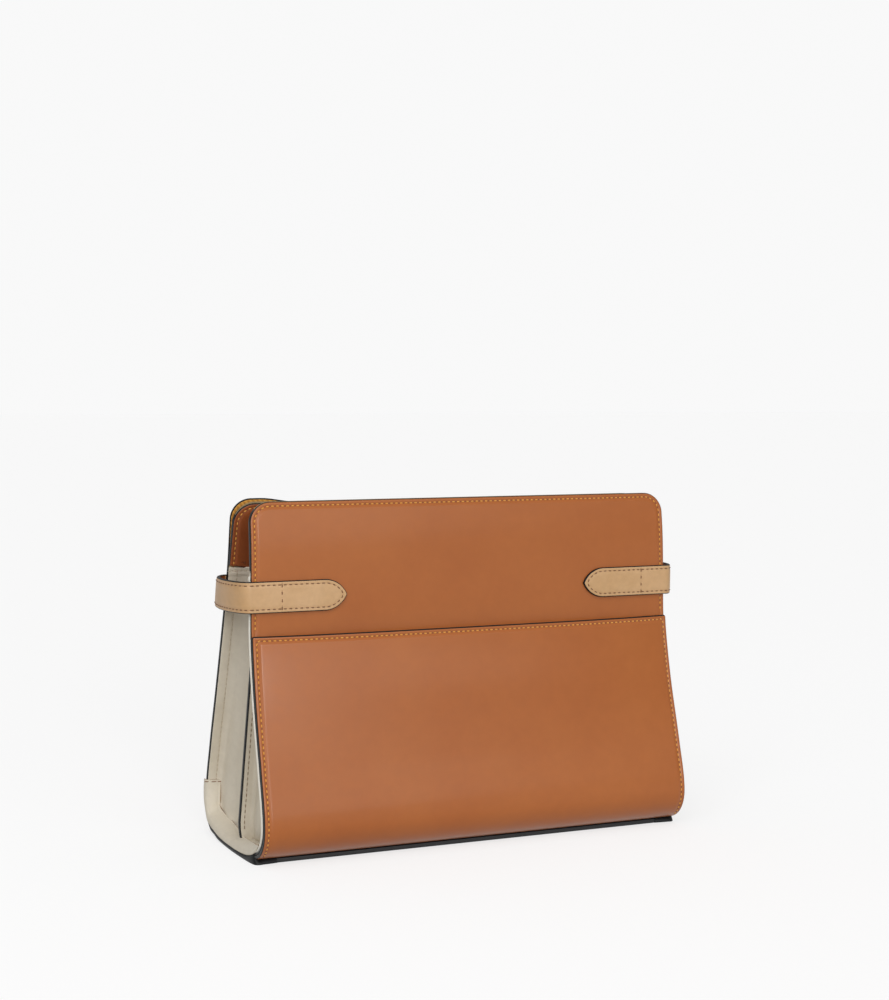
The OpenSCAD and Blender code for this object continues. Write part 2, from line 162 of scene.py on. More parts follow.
# Leather: a dyed skin with cloudy tone, fine pores and shallow creases
def leather(name, look):
    material, tree, shader, place = newMaterial(name, {
        "IOR": 1.5, "Specular IOR Level": look["specular"],
        "Coat Weight": look["coat"], "Coat Roughness": look["coatRoughness"]})
    clouds = addNode(tree, "ShaderNodeTexNoise", None,
                     {"Vector": place, "Scale": 1000 / look["cloudMm"], "Detail": 3, "Roughness": 0.55})
    fleck = addNode(tree, "ShaderNodeTexNoise", None,
                    {"Vector": place, "Scale": 1000 / look["fleckMm"], "Detail": 4, "Roughness": 0.6})
    pores = addNode(tree, "ShaderNodeTexVoronoi", {"feature": "F1"},
                    {"Vector": place, "Scale": 1000 / look["poreMm"], "Randomness": 1})
    creases = addNode(tree, "ShaderNodeTexNoise", {"noise_type": "RIDGED_MULTIFRACTAL"},
                      {"Vector": place, "Scale": 1000 / look["creaseMm"], "Detail": 3})
    tone = addNode(tree, "ShaderNodeValToRGB", None, {"Fac": clouds.outputs["Fac"]})
    tone.color_ramp.elements[0].position = 0.32
    tone.color_ramp.elements[0].color = toLinear(look["dark"])
    tone.color_ramp.elements[1].position = 0.68
    tone.color_ramp.elements[1].color = toLinear(look["light"])
    fleckShare = addNode(tree, "ShaderNodeMapRange", None, {
        "Value": fleck.outputs["Fac"], "From Min": 0.35, "From Max": 0.7,
        "To Min": 1 - look["fleck"], "To Max": 1 + look["fleck"] / 2})
    colour = addNode(tree, "ShaderNodeVectorMath", {"operation": "SCALE"},
                     {0: tone.outputs["Color"], "Scale": fleckShare.outputs["Result"]})
    shine = addNode(tree, "ShaderNodeMapRange", None, {
        "Value": fleck.outputs["Fac"], "From Min": 0.3, "From Max": 0.75,
        "To Min": look["roughness"] - 0.04, "To Max": look["roughness"] + 0.05})
    grain = addNode(tree, "ShaderNodeMath", {"operation": "MULTIPLY_ADD"},
                    {0: creases.outputs["Fac"], 1: look["creaseShare"], 2: pores.outputs["Distance"]})
    bump = addNode(tree, "ShaderNodeBump", None, {
        "Strength": look["bump"], "Distance": look["poreMm"] / 1000 * 0.4,
        "Height": grain.outputs["Value"]})
    tree.links.new(colour.outputs["Vector"], shader.inputs["Base Color"])
    tree.links.new(shine.outputs["Result"], shader.inputs["Roughness"])
    tree.links.new(bump.outputs["Normal"], shader.inputs["Normal"])
    return material


# Smooth calf, drum dyed and lightly waxed: broad soft highlights, hardly any grain
tanCalf = leather("Smooth calf leather", {
    "dark": "#a55c29", "light": "#ab622d", "cloudMm": 70, "fleckMm": 7, "fleck": 0.03,
    "poreMm": 0.55, "creaseMm": 2.4, "creaseShare": 0.25, "bump": 0.04,
    "roughness": 0.4, "specular": 0.26, "coat": 0.24, "coatRoughness": 0.19})
# The same hide, unwaxed and so flatter, inside the mouth and on other inner faces: coloured darker as
# painted shade
shadedFacingCalf = leather("Calf leather darkened as painted shade", {
    "dark": "#8c461e", "light": "#9b5226", "cloudMm": 60, "fleckMm": 6, "fleck": 0.07,
    "poreMm": 0.55, "creaseMm": 2, "creaseShare": 0.4, "bump": 0.09,
    "roughness": 0.5, "specular": 0.4, "coat": 0.04, "coatRoughness": 0.4})
# Vegetable tanned strap leather: pale, close and satin
strapLeather = leather("Vegetable tanned strap leather", {
    "dark": "#c29a6c", "light": "#cca57a", "cloudMm": 26, "fleckMm": 3.5, "fleck": 0.05,
    "poreMm": 0.4, "creaseMm": 1.6, "creaseShare": 0.4, "bump": 0.08,
    "roughness": 0.45, "specular": 0.35, "coat": 0.08, "coatRoughness": 0.35})
# Soft gusset leather, milled: matte, with a fine pebble and slight mottling
creamNappa = leather("Milled cream nappa", {
    "dark": "#d3c9b6", "light": "#ddd4c3", "cloudMm": 40, "fleckMm": 4, "fleck": 0.04,
    "poreMm": 0.7, "creaseMm": 2.6, "creaseShare": 0.6, "bump": 0.16,
    "roughness": 0.58, "specular": 0.5, "coat": 0, "coatRoughness": 0.5})
# Black base leather: pressed close, satin
blackLeather = leather("Black pressed leather", {
    "dark": "#17181a", "light": "#202224", "cloudMm": 40, "fleckMm": 4, "fleck": 0.1,
    "poreMm": 0.7, "creaseMm": 2.2, "creaseShare": 0.5, "bump": 0.2,
    "roughness": 0.5, "specular": 0.4, "coat": 0.05, "coatRoughness": 0.4})


# Painted edge: several rubbed coats of acrylic, rounded and slightly wavy
def edgePaintLook():
    material, tree, shader, place = newMaterial("Painted leather edge", {
        "IOR": 1.49, "Specular IOR Level": 0.25})
    wave = addNode(tree, "ShaderNodeTexNoise", None, {"Vector": place, "Scale": 1000 / 2.5, "Detail": 2})
    tone = addNode(tree, "ShaderNodeValToRGB", None, {"Fac": wave.outputs["Fac"]})
    tone.color_ramp.elements[0].color = toLinear("#0d0e10")
    tone.color_ramp.elements[1].color = toLinear("#17191b")
    shine = addNode(tree, "ShaderNodeMapRange", None,
                    {"Value": wave.outputs["Fac"], "To Min": 0.34, "To Max": 0.5})
    bump = addNode(tree, "ShaderNodeBump", None,
                   {"Strength": 0.15, "Distance": 0.0002, "Height": wave.outputs["Fac"]})
    tree.links.new(tone.outputs["Color"], shader.inputs["Base Color"])
    tree.links.new(shine.outputs["Result"], shader.inputs["Roughness"])
    tree.links.new(bump.outputs["Normal"], shader.inputs["Normal"])
    return material


# Lining: cotton twill, ribs on the slant with dark gaps, drawn at twice their real width
def twill(name, look):
    material, tree, shader, place = newMaterial(name, {
        "IOR": 1.46, "Sheen Weight": 0.25, "Sheen Roughness": 0.5})
    ribs = addNode(tree, "ShaderNodeTexWave", {"bands_direction": "DIAGONAL"},
                   {"Vector": place, "Scale": 1000 / look["ribMm"] / 6.3, "Distortion": 0.6, "Detail": 1})
    slub = addNode(tree, "ShaderNodeTexNoise", None,
                   {"Vector": place, "Scale": 1000 / look["slubMm"], "Detail": 3})
    tone = addNode(tree, "ShaderNodeMix", {"data_type": "RGBA"}, {
        0: ribs.outputs["Fac"], 6: toLinear(look["dark"]), 7: toLinear(look["light"])})
    shade = addNode(tree, "ShaderNodeMapRange", None,
                    {"Value": slub.outputs["Fac"], "To Min": 0.86, "To Max": 1.1})
    colour = addNode(tree, "ShaderNodeVectorMath", {"operation": "SCALE"},
                     {0: tone.outputs[2], "Scale": shade.outputs["Result"]})
    bump = addNode(tree, "ShaderNodeBump", None, {
        "Strength": 0.3, "Distance": look["ribMm"] / 1000 * 0.3, "Height": ribs.outputs["Fac"]})
    tree.links.new(colour.outputs["Vector"], shader.inputs["Base Color"])
    tree.links.new(bump.outputs["Normal"], shader.inputs["Normal"])
    shader.inputs["Roughness"].default_value = 0.85
    return material


# Thread: waxed polyester, twisted, with a slight sheen
def threadLook(name, look):
    material, tree, shader, place = newMaterial(name, {
        "IOR": 1.53, "Sheen Weight": 0.2, "Sheen Roughness": 0.4})
    twist = addNode(tree, "ShaderNodeTexNoise", None, {"Vector": place, "Scale": 1000 / 0.6, "Detail": 2})
    tone = addNode(tree, "ShaderNodeMix", {"data_type": "RGBA"}, {
        0: twist.outputs["Fac"], 6: toLinear(look["dark"]), 7: toLinear(look["light"])})
    bump = addNode(tree, "ShaderNodeBump", None,
                   {"Strength": 0.4, "Distance": 0.0001, "Height": twist.outputs["Fac"]})
    tree.links.new(tone.outputs[2], shader.inputs["Base Color"])
    tree.links.new(bump.outputs["Normal"], shader.inputs["Normal"])
    shader.inputs["Roughness"].default_value = 0.6
    return material


# Plain stiff or metal pieces that hardly show
def plainLook(name, look):
    material, tree, shader, place = newMaterial(name, {"Metallic": look["metallic"]})
    speck = addNode(tree, "ShaderNodeTexNoise", None,
                    {"Vector": place, "Scale": 1000 / look["speckMm"], "Detail": 4})
    tone = addNode(tree, "ShaderNodeMix", {"data_type": "RGBA"}, {
        0: speck.outputs["Fac"], 6: toLinear(look["dark"]), 7: toLinear(look["light"])})
    bump = addNode(tree, "ShaderNodeBump", None,
                   {"Strength": 0.1, "Distance": 0.0002, "Height": speck.outputs["Fac"]})
    tree.links.new(tone.outputs[2], shader.inputs["Base Color"])
    tree.links.new(bump.outputs["Normal"], shader.inputs["Normal"])
    shader.inputs["Roughness"].default_value = look["roughness"]
    return material


edgePaint = edgePaintLook()
mustardTwill = twill("Mustard cotton twill", {
    "dark": "#b97e2c", "light": "#dda344", "ribMm": 0.9, "slubMm": 5})
ochreThread = threadLook("Ochre polyester thread", {"dark": "#cf8f30", "light": "#efb352"})
brownThread = threadLook("Brown polyester thread", {"dark": "#6b4526", "light": "#855a34"})
stoneThread = threadLook("Stone polyester thread", {"dark": "#7c674c", "light": "#957f62"})
creamThread = threadLook("Cream polyester thread", {"dark": "#b7a78e", "light": "#cbbda6"})
# Flattened dark beads between the stitches: painted shade in the stitch holes
holeShade = threadLook("Stitch hole painted shade", {"dark": "#7e3f18", "light": "#8f4c20"})
fibreBoard = plainLook("Pressed fibre board", {
    "dark": "#8f7d5f", "light": "#aa9670", "speckMm": 1.5, "metallic": 0, "roughness": 0.9})
# The gusset's cut edge along the front wall, coloured pale: partly its own pale edge and partly a painted
# highlight where it catches the light from the left
paleEdgeAndHighlight = plainLook("Pale leather edge with painted highlight", {
    "dark": "#e6e1d4", "light": "#efeadd", "speckMm": 1.2, "metallic": 0, "roughness": 0.5})
# Brown cut edge of the foot bands, which also draws the thin dark line along each band's inner edge
cutEdge = plainLook("Brown cut leather edge", {
    "dark": "#8a6b4b", "light": "#a3825f", "speckMm": 1.2, "metallic": 0, "roughness": 0.7})
platedSteel = plainLook("Nickel plated magnet", {
    "dark": "#8d9194", "light": "#a4a8ab", "speckMm": 0.8, "metallic": 1, "roughness": 0.3})
print("materials made")


# Camera at the photograph's angle. Its lens is the focal length for a frame 36 millimetres tall.
cameraSpot = {"place": (-0.519, -1.1638, 0.2955), "azimuth": 23.99, "pitch": 3.15, "lens": 67.5}
cameraData = bpy.data.cameras.new("photoCamera")
cameraData.lens = cameraSpot["lens"]
cameraData.sensor_width = 36
camera = putInScene("photoCamera", cameraData)
camera.location = cameraSpot["place"]
camera.rotation_euler = (math.radians(90 - cameraSpot["pitch"]), 0, math.radians(-cameraSpot["azimuth"]))
bpy.context.scene.camera = camera


# Wall lines: from the lower end of the fold up to the top, as a function of the way along.
# Their steps are degrees round the fold, shares of each stretch over it, and then even millimetres.
lineStep = {"fold": 3, "share": 0.04, "even": 0.5, "pastTop": 6}


def wallLine(shares):
    centreY, centreZ, radius = foldCentre[1], foldCentre[2], bag["foldRadius"]
    rise = bag["frontTop"] - centreZ
    stations = [np.array([s[1] * bag["halfDepth"], centreZ + s[0] * rise]) for s in shares]
    first = np.array([stations[1][0], 2 * centreZ - stations[1][1]])
    end = 2 * stations[-1] - stations[-2]
    knots = [first] + stations + [end]
    points = [np.array([centreY + radius * math.cos(a), centreZ + radius * math.sin(a)])
              for a in np.radians(np.arange(-90, 0, lineStep["fold"]))]
    for a, b, c, d in zip(knots, knots[1:], knots[2:], knots[3:]):
        points.extend(curvePoint(a, b, c, d, t) for t in np.arange(0, 1, lineStep["share"]))
    points.append(stations[-1])
    slope = (stations[-1] - stations[-2]) / np.linalg.norm(stations[-1] - stations[-2])
    points.append(stations[-1] + slope * lineStep["pastTop"])
    points = np.array(points)
    way = wayAlong(points)
    even = np.arange(0, way[-1], lineStep["even"])
    y, z = np.interp(even, way, points[:, 0]), np.interp(even, way, points[:, 1])
    dy, dz = np.gradient(y), np.gradient(z)
    length = np.hypot(dy, dz)
    return {"way": even, "y": y, "z": z, "outY": dz / length, "outZ": -dy / length}


frontLine = wallLine(bag["frontShares"])
backLine = wallLine(bag["backShares"])


# Way along a line at a height above the fold
def wayAt(line, z):
    return np.interp(z, line["z"], line["way"])


# Point on a wall: across, along, and out from the outer line
def onLine(line, x, way, out):
    y = np.interp(way, line["way"], line["y"]) + out * np.interp(way, line["way"], line["outY"])
    z = np.interp(way, line["way"], line["z"]) + out * np.interp(way, line["way"], line["outZ"])
    return x + 0 * y, y, z


def frontPlace(x, way, out):
    x, y, z = onLine(frontLine, x, way, out)
    return np.stack([x, -y, z], axis=-1)


def backPlace(x, way, out):
    return np.stack(onLine(backLine, x, way, out), axis=-1)


# The pocket's mouth bows out, and the back's outer layer stands off near its top, its left corner highest
bows = {"pocket": 6, "pocketFrom": 0.35, "pocketFull": 0.8, "slipOff": 4, "slip": 3.5,
        "slipSag": 1.1, "slipCorner": 2.9, "slipCornerFrom": 104, "slipCornerOver": 26}


# 1 in the middle of a wall, and 0 at its sides
def middleShare(x, z):
    return 1 - np.clip(np.abs(x / halfWidthAt(z)), 0, 1) ** 4


def pocketPlace(x, way, out):
    points = frontPlace(x, way, out)
    z = np.interp(way, frontLine["way"], frontLine["z"])
    share = (z / bag["pocketTop"] - bows["pocketFrom"]) / (bows["pocketFull"] - bows["pocketFrom"])
    points[..., 1] -= bows["pocket"] * smooth(share) * middleShare(x, z)
    return points


def slipPlace(x, way, out):
    points = backPlace(x, way, out)
    z = np.interp(way, backLine["way"], backLine["z"])
    t = smooth((z - bag["gussetTop"]) / (bag["backTop"] - bag["gussetTop"]))
    points[..., 1] += t * (bows["slipOff"] + bows["slip"] * middleShare(x, z))
    corner = smooth((-x - bows["slipCornerFrom"]) / bows["slipCornerOver"])
    points[..., 2] += t * (bows["slipCorner"] * corner - bows["slipSag"])
    return points


def insideDepth(line, depth, z):
    y, height = line["y"] - depth * line["outY"], line["z"] - depth * line["outZ"]
    return np.interp(z, height, y)


# Meshes

def makePiece(name, vertices, faces, materials, faceMaterials):
    mesh = bpy.data.meshes.new(name)
    mesh.from_pydata((np.asarray(vertices) / 1000).tolist(), [], [list(f) for f in faces])
    for material in materials:
        mesh.materials.append(material)
    mesh.polygons.foreach_set("material_index", faceMaterials)
    work = bmesh.new()
    work.from_mesh(mesh)
    bmesh.ops.remove_doubles(work, verts=work.verts, dist=1e-6)
    bmesh.ops.recalc_face_normals(work, faces=work.faces)
    work.to_mesh(mesh)
    work.free()
    mesh.polygons.foreach_set("use_smooth", [True] * len(mesh.polygons))
    return putInScene(name, mesh)


# Outline of a wall layer in flat coordinates, moved in by the given distance.
# Points run along the bottom, up the right, back along the top and down the left.
def outline(shape, inset):
    low, top, corner, arc = shape["low"], shape["top"], shape["corner"], shape["arcCells"]
    radius = max(corner - inset, 0.4)
    side = shape["sideWays"]
    centreWay = top - inset - radius
    ways = low + inset + (side - side[0]) / (side[-1] - side[0]) * (centreWay - low - inset)
    edge = shape["halfWidth"](ways) - inset
    centreX = edge[-1] - radius
    quarter = np.radians(np.linspace(0, 45, arc + 1))[1:]
    right = np.concatenate([
        np.stack([edge, ways], 1),
        np.stack([centreX + radius * np.cos(quarter), centreWay + radius * np.sin(quarter)], 1)])
    half = np.radians(np.linspace(45, 90, arc + 1))[1:]
    turn = np.stack([centreX + radius * np.cos(half), centreWay + radius * np.sin(half)], 1)
    across = np.linspace(centreX, -centreX, shape["acrossCells"] + 1)[1:-1]
    flat = np.stack([across, np.full(len(across), centreWay + radius)], 1)
    topLine = np.concatenate([turn, flat, turn[::-1] * [-1, 1]])
    left = right[::-1] * [-1, 1]
    reach = np.concatenate([[right[-1, 0]], topLine[:, 0], [-right[-1, 0]]]) / right[-1, 0]
    bottom = np.stack([-reach[1:-1] * edge[0], np.full(len(reach) - 2, low + inset)], 1)
    return np.concatenate([left[-1:], bottom, right[:-1], right[-1:], topLine, left[:-1]])


def outlineCells(shape):
    return shape["acrossCells"] + 2 * shape["arcCells"], len(shape["sideWays"]) - 1 + shape["arcCells"]


# Place of a grid point on the outline's list
def rimIndex(i, j, nx, ny):
    if j == 0:
        return i
    if i == nx:
        return nx + j
    if j == ny:
        return 2 * nx + ny - i
    return (2 * nx + 2 * ny - j) % (2 * nx + 2 * ny)


# A layer's closed skin: rings in from its edge, a patch across the middle, and the same inside
def layerMesh(name, shape, place, outer, inner, relief, materials, rimTo=None, bulge=0.2, paintTop=0.3):
    nx, ny = outlineCells(shape)
    rings = shape["rings"]
    count = 2 * (nx + ny)
    loops, tags = [], []
    for d in rings[::-1]:
        flat = outline(shape, d)
        loops.append((flat, -outer + relief(d, flat)))
        along = flat[:, 1] > shape["top"] - d - 0.05
        tags.append(np.where(d <= np.where(along, paintTop, 0.3), 1, 0))
    rim = outline(shape, 0)
    start = -outer + relief(0, rim)
    finish = -(rimTo(rim) if rimTo else inner) + 0 * start
    for t in (0.12, 0.3, 0.5, 0.7, 0.88, 1):
        loops.append((outline(shape, -bulge * math.sin(math.pi * t) ** 0.7), start + (finish - start) * t))
        tags.append(np.ones(count, int))
    for d, depth, tag in ((0.35, finish, 1), (0.6, -inner, 1), (rings[-1], -inner, 2)):
        flat = outline(shape, d)
        loops.append((flat, depth + 0 * flat[:, 0]))
        tags.append(np.full(count, tag))
    vertices = [place(flat[:, 0], flat[:, 1], out) for flat, out in loops]
    faces, kinds = [], []
    for k in range(len(loops) - 1):
        for p in range(count):
            q = (p + 1) % count
            faces.append((k * count + p, k * count + q, (k + 1) * count + q, (k + 1) * count + p))
            ends = [tags[k][p], tags[k][q], tags[k + 1][p], tags[k + 1][q]]
            kinds.append(2 if 2 in ends else min(ends))
    total = len(loops) * count
    for end, tag in ((0, 0), (len(loops) - 1, 2)):
        flat, out = loops[end]
        index = np.zeros((nx + 1, ny + 1), int)
        edge = np.zeros((nx + 1, ny + 1), bool)
        for i in range(nx + 1):
            for j in range(ny + 1):
                if i in (0, nx) or j in (0, ny):
                    index[i, j] = rimIndex(i, j, nx, ny)
                    edge[i, j] = True
        bottom, top = flat[index[:, 0]], flat[index[:, ny]]
        left, right = flat[index[0, :]], flat[index[nx, :]]
        u = (np.arange(nx + 1) / nx)[:, None, None]
        v = (np.arange(ny + 1) / ny)[None, :, None]
        patch = ((1 - v) * bottom[:, None] + v * top[:, None] + (1 - u) * left[None] + u * right[None]
                 - (1 - u) * (1 - v) * bottom[0] - u * (1 - v) * bottom[-1] - (1 - u) * v * top[0]
                 - u * v * top[-1])
        inside = ~edge
        flatInside = patch[inside]
        index = index + end * count
        index[inside] = total + np.arange(inside.sum())
        total += int(inside.sum())
        outInside = -outer + relief(rings[-1], flatInside) if end == 0 else np.full(len(flatInside), -inner)
        vertices.append(place(flatInside[:, 0], flatInside[:, 1], outInside))
        for i in range(nx):
            for j in range(ny):
                faces.append((index[i, j], index[i + 1, j], index[i + 1, j + 1], index[i, j + 1]))
                kinds.append(tag)
    return makePiece(name, np.concatenate(vertices), faces, materials, kinds)


# Edge rounding, stitch groove and padding of a sewn panel, by distance from its edge
sewn = {"edgeRadius": 0.9, "edgeDrop": 0.5, "grooveAt": 2.7, "grooveWide": 0.6, "grooveDeep": 0.4,
        "pad": 0.42, "padFrom": 0.7, "padRise": 1.8, "rimBead": 1.1, "beadTo": 2.1, "beadFall": 0.9,
        "innerShare": 0.7}


def sewnRelief(shape, strength):
    def relief(d, flat):
        rounding = -sewn["edgeDrop"] * (1 - min(d / sewn["edgeRadius"], 1)) ** 2
        groove = -sewn["grooveDeep"] * math.exp(-((d - sewn["grooveAt"]) / sewn["grooveWide"]) ** 2)
        pad = sewn["pad"] * float(smooth((d - sewn["grooveAt"] - sewn["padFrom"]) / sewn["padRise"]))
        return rounding + (groove + pad) * strength(flat[:, 1])
    return relief


def plainRelief(d, flat):
    return -0.1 * (1 - min(d / 0.3, 1)) ** 2 + 0 * flat[:, 0]


sewnRings = [0, 0.12, 0.3, 0.6, 1.0, 1.5, 1.9, 2.2, 2.45, 2.7, 2.95, 3.2, 3.5, 3.85, 4.2, 4.6,
             5.1, 5.7, 7, 10]
plainRings = [0, 0.3, 2]


# Ways for the rows of points up a side, closer round the fold and a little past it
rowGap = {"fold": 2.4, "wall": 4.5, "past": 6}


def sideWays(low, high):
    bend = bag["foldRadius"] * math.pi / 2 + rowGap["past"]
    near = np.arange(low, min(bend, high), rowGap["fold"]) if low < bend else np.array([low])
    far = np.linspace(max(near[-1], low), high, max(int((high - near[-1]) / rowGap["wall"]), 2) + 1)[1:]
    return np.concatenate([near, far])


def wallShape(line, lowWay, topZ, corner, rings, margin=0, halfWidth=None, arcCells=8):
    top = wayAt(line, topZ) - margin
    corner = max(corner - margin, 0.8)
    wide = halfWidth or (lambda way: halfWidthAt(np.interp(way, line["way"], line["z"])) - margin)
    return {"low": lowWay + margin, "top": top, "corner": corner, "arcCells": arcCells,
            "acrossCells": 56, "rings": rings, "halfWidth": wide,
            "sideWays": sideWays(lowWay + margin, top - corner)}


# Front wall. Padding fades in over the fold and over the pocket's mouth, and the pocket's painted rim
# reaches its lining at the mouth and the front panel below.
fade = {"foldFrom": 8, "foldOver": 26, "mouthOver": 4}
pocketRimSize = {"mouth": 2.15, "below": 2.43, "mouthDeep": 3}
pocketShape = wallShape(frontLine, 0, bag["pocketTop"], 1.5, sewnRings, arcCells=3)
pocketTopWay = pocketShape["top"]


def lowFade(way):
    return smooth((way - fade["foldFrom"]) / fade["foldOver"])


def pocketRim(flat):
    nearMouth = flat[:, 1] > pocketTopWay - pocketRimSize["mouthDeep"]
    return np.where(nearMouth, pocketRimSize["mouth"], pocketRimSize["below"])


frontPocket = layerMesh("frontPocket", pocketShape, pocketPlace, *layers["skin"],
                        sewnRelief(pocketShape, lowFade), [tanCalf, edgePaint, mustardTwill], pocketRim,
                        paintTop=0.6)
pocketLiningShape = wallShape(frontLine, 0, bag["pocketTop"] - 1.2, 1.5, plainRings, margin=1.7, arcCells=3)
frontPocketLining = layerMesh("frontPocketLining", pocketLiningShape, pocketPlace, *layers["pocketLining"],
                              plainRelief, [mustardTwill] * 3, bulge=0.05)

panelShape = wallShape(frontLine, 0, bag["frontTop"], bag["cornerRadius"], sewnRings)


def aboveMouth(way):
    return smooth((way - pocketTopWay) / fade["mouthOver"])


frontPanel = layerMesh("frontPanel", panelShape, frontPlace, *layers["frontPanel"],
                       sewnRelief(panelShape, aboveMouth), [tanCalf, edgePaint, shadedFacingCalf])


# The facings are as wide as the wall above the gussets, and narrower below them.
# Their rims reach out to a depth below each wall's outer line, past the board's edge.
facing = {"narrow": 135.5, "step": 0.8, "low": boxOf("front_facing")[0][2], "frontRim": 7.4, "backRim": 6.8,
          "clear": 0.3, "stepRows": [-0.3, 0, 0.2, 0.4, 0.6, 0.8, 1.1], "beadAbove": 1.2, "beadOver": 3}


# The leaning wall carries its inner layers lower than its outer line
def facingStep(line):
    top = bag["gussetTop"] + facing["clear"]
    return wayAt(line, top + layers["frontFacing"][1] * float(np.interp(top, line["z"], line["outZ"])))


def facingWidth(line):
    stepWay = facingStep(line)

    def width(way):
        wall = halfWidthAt(np.interp(way, line["way"], line["z"]))
        return facing["narrow"] + (wall - facing["narrow"]) * smooth((way - stepWay) / facing["step"])
    return width


def facingShape(line, topZ):
    shape = wallShape(line, wayAt(line, facing["low"]), topZ, bag["cornerRadius"], sewnRings,
                      halfWidth=facingWidth(line))
    stepWay = facingStep(line)
    extra = stepWay + np.array(facing["stepRows"])
    shape["sideWays"] = np.unique(np.concatenate([shape["sideWays"], extra]))
    return shape


# Inner layers are drawn from inside, so their sewn face is the one that looks into the bag
def innerPlace(place, depthOuter, depthInner):
    def turned(x, way, out):
        return place(x, way, -(depthOuter + depthInner) - out)
    return turned


# The stitch groove and padding are shallower on the facings
def innerShare(way):
    return sewn["innerShare"] + 0 * way


# Round the mouth the front's edge is built up with paint to a thick rounded bead
def beadedRelief(shape, line):
    plain = sewnRelief(shape, innerShare)
    start = facingStep(line) + facing["beadAbove"]

    def relief(d, flat):
        bead = sewn["rimBead"] * float(smooth((sewn["beadTo"] - d) / sewn["beadFall"]))
        return plain(d, flat) + bead * smooth((flat[:, 1] - start) / facing["beadOver"])
    return relief


frontFacingShape = facingShape(frontLine, bag["frontTop"])
frontFacing = layerMesh("frontFacing", frontFacingShape, innerPlace(frontPlace, *layers["frontFacing"]),
                        *layers["frontFacing"], beadedRelief(frontFacingShape, frontLine),
                        [shadedFacingCalf, edgePaint, shadedFacingCalf],
                        lambda flat: facing["frontRim"] + 0 * flat[:, 0], paintTop=1.6)
backFacingShape = facingShape(backLine, bag["backTop"])
backFacing = layerMesh("backFacing", backFacingShape, innerPlace(backPlace, *layers["backFacing"]),
                       *layers["backFacing"], sewnRelief(backFacingShape, innerShare),
                       [shadedFacingCalf, edgePaint, shadedFacingCalf], lambda flat: facing["backRim"] + 0 * flat[:, 0])

# Wall linings below the facings: they start on the fold, some way below a height above it
liningSize = {"above": 26, "down": 22, "gap": 0.05, "corner": 1.5}


def wallLining(name, line, place, depths):
    low = wayAt(line, liningSize["above"]) - liningSize["down"]
    top = facing["low"] - liningSize["gap"]
    shape = wallShape(line, low, top, liningSize["corner"], plainRings,
                      halfWidth=lambda way: facing["narrow"] + 0 * way, arcCells=3)
    return layerMesh(name, shape, innerPlace(place, *depths), *depths, plainRelief, [mustardTwill] * 3,
                     bulge=0.05)


frontLining = wallLining("frontLining", frontLine, frontPlace, layers["frontLining"])
backLining = wallLining("backLining", backLine, backPlace, layers["backLining"])

# Back wall
backPanelShape = wallShape(backLine, 0, bag["backTop"], bag["cornerRadius"], sewnRings)


# Below the gusset's top the back's layers are sewn together and painted as one, deeper edge
backRimSize = {"free": 1.6, "deeper": 0.83, "over": 6}


def backRim(flat):
    below = wayAt(backLine, bag["gussetTop"]) - flat[:, 1]
    return backRimSize["free"] + backRimSize["deeper"] * smooth(below / backRimSize["over"])


backPanel = layerMesh("backPanel", backPanelShape, slipPlace, *layers["skin"],
                      sewnRelief(backPanelShape, lowFade), [tanCalf, edgePaint, mustardTwill], backRim)
slipLiningShape = wallShape(backLine, 0, bag["backTop"], bag["cornerRadius"], plainRings, margin=0.6)
backPocketLining = layerMesh("backPocketLining", slipLiningShape, slipPlace, *layers["pocketLining"],
                             plainRelief, [mustardTwill] * 3, bulge=0.05)
innerShape = wallShape(backLine, 0, bag["backTop"], bag["cornerRadius"], plainRings)
backInnerPanel = layerMesh("backInnerPanel", innerShape, backPlace, *layers["backInner"],
                           plainRelief, [shadedFacingCalf, edgePaint, shadedFacingCalf])
print("walls made")


# Lofted pieces: closed sections joined in a row, capped or closed by merging.
# Edges sharper than the angle, in degrees, stay hard.
loftSharp = 80


def loft(name, sections, materials, sectionMaterials, caps=(True, True), capMaterial=0):
    sections = np.asarray(sections)
    rows, count = sections.shape[:2]
    faces, kinds = [], []
    for i in range(rows - 1):
        for p in range(count):
            q = (p + 1) % count
            faces.append((i * count + p, i * count + q, (i + 1) * count + q, (i + 1) * count + p))
            kinds.append(sectionMaterials[p])
    for cap, row in zip(caps, (0, rows - 1)):
        if cap:
            faces.append(tuple(row * count + np.arange(count)))
            kinds.append(capMaterial)
    piece = makePiece(name, sections.reshape(-1, 3), faces, materials, kinds)
    piece.data.set_sharp_from_angle(angle=math.radians(loftSharp))
    return piece


# Gussets
gusset = {"edge": 0.5, "flange": 9.2, "pleatTop": 34, "pleatLow": 12, "ridgeTop": 12.6, "ridgeLow": 2.4,
          "curl": 4.6, "curlFrom": 20, "thick": 0.9, "bead": 2.0, "beadDrop": 1.4, "flangeStitch": 5.4,
          "seat": 0.3, "halfRidge": 0.55, "hem": 0.6, "hemDeep": 6, "hemStitch": 2.6,
          "softCorner": 4.2, "softValley": 7, "bow": 1.3, "ridgeStitch": 3.2, "beadRound": 1.1,
          "groove": 0.25, "grooveWide": 0.6, "hemGroove": 0.35, "hemGrooveWide": 0.5,
          "beadOver": 1.2, "hemOver": 0.8, "topRound": 0.8, "rows": 40,
          "hemRows": (7, 6.4, 5.8, 5.2, 4.4, 3.6, 3.1, 2.6, 2.1, 1.6, 1.1, 0.7, 0.45, 0.25, 0.1, 0),
          "stitchLow": 14, "stitchUnder": 5, "stitchRise": 0.05}
dividerLean = math.atan2(boxOf("divider")[0][1] * -1 - 0.5, bag["dividerTop"] - bag["gussetLow"])


def ridgeY(z):
    return -(z - bag["gussetLow"]) * math.tan(dividerLean)


def ridgeX(z):
    depth = gusset["ridgeLow"] + (gusset["ridgeTop"] - gusset["ridgeLow"]) * z / bag["gussetTop"]
    return halfWidthAt(z) - depth - curlAt(z)


# The pleats draw in where they are sewn to the base
def curlAt(z):
    return gusset["curl"] * np.clip((gusset["curlFrom"] - z) / gusset["curlFrom"], 0, 1) ** 2


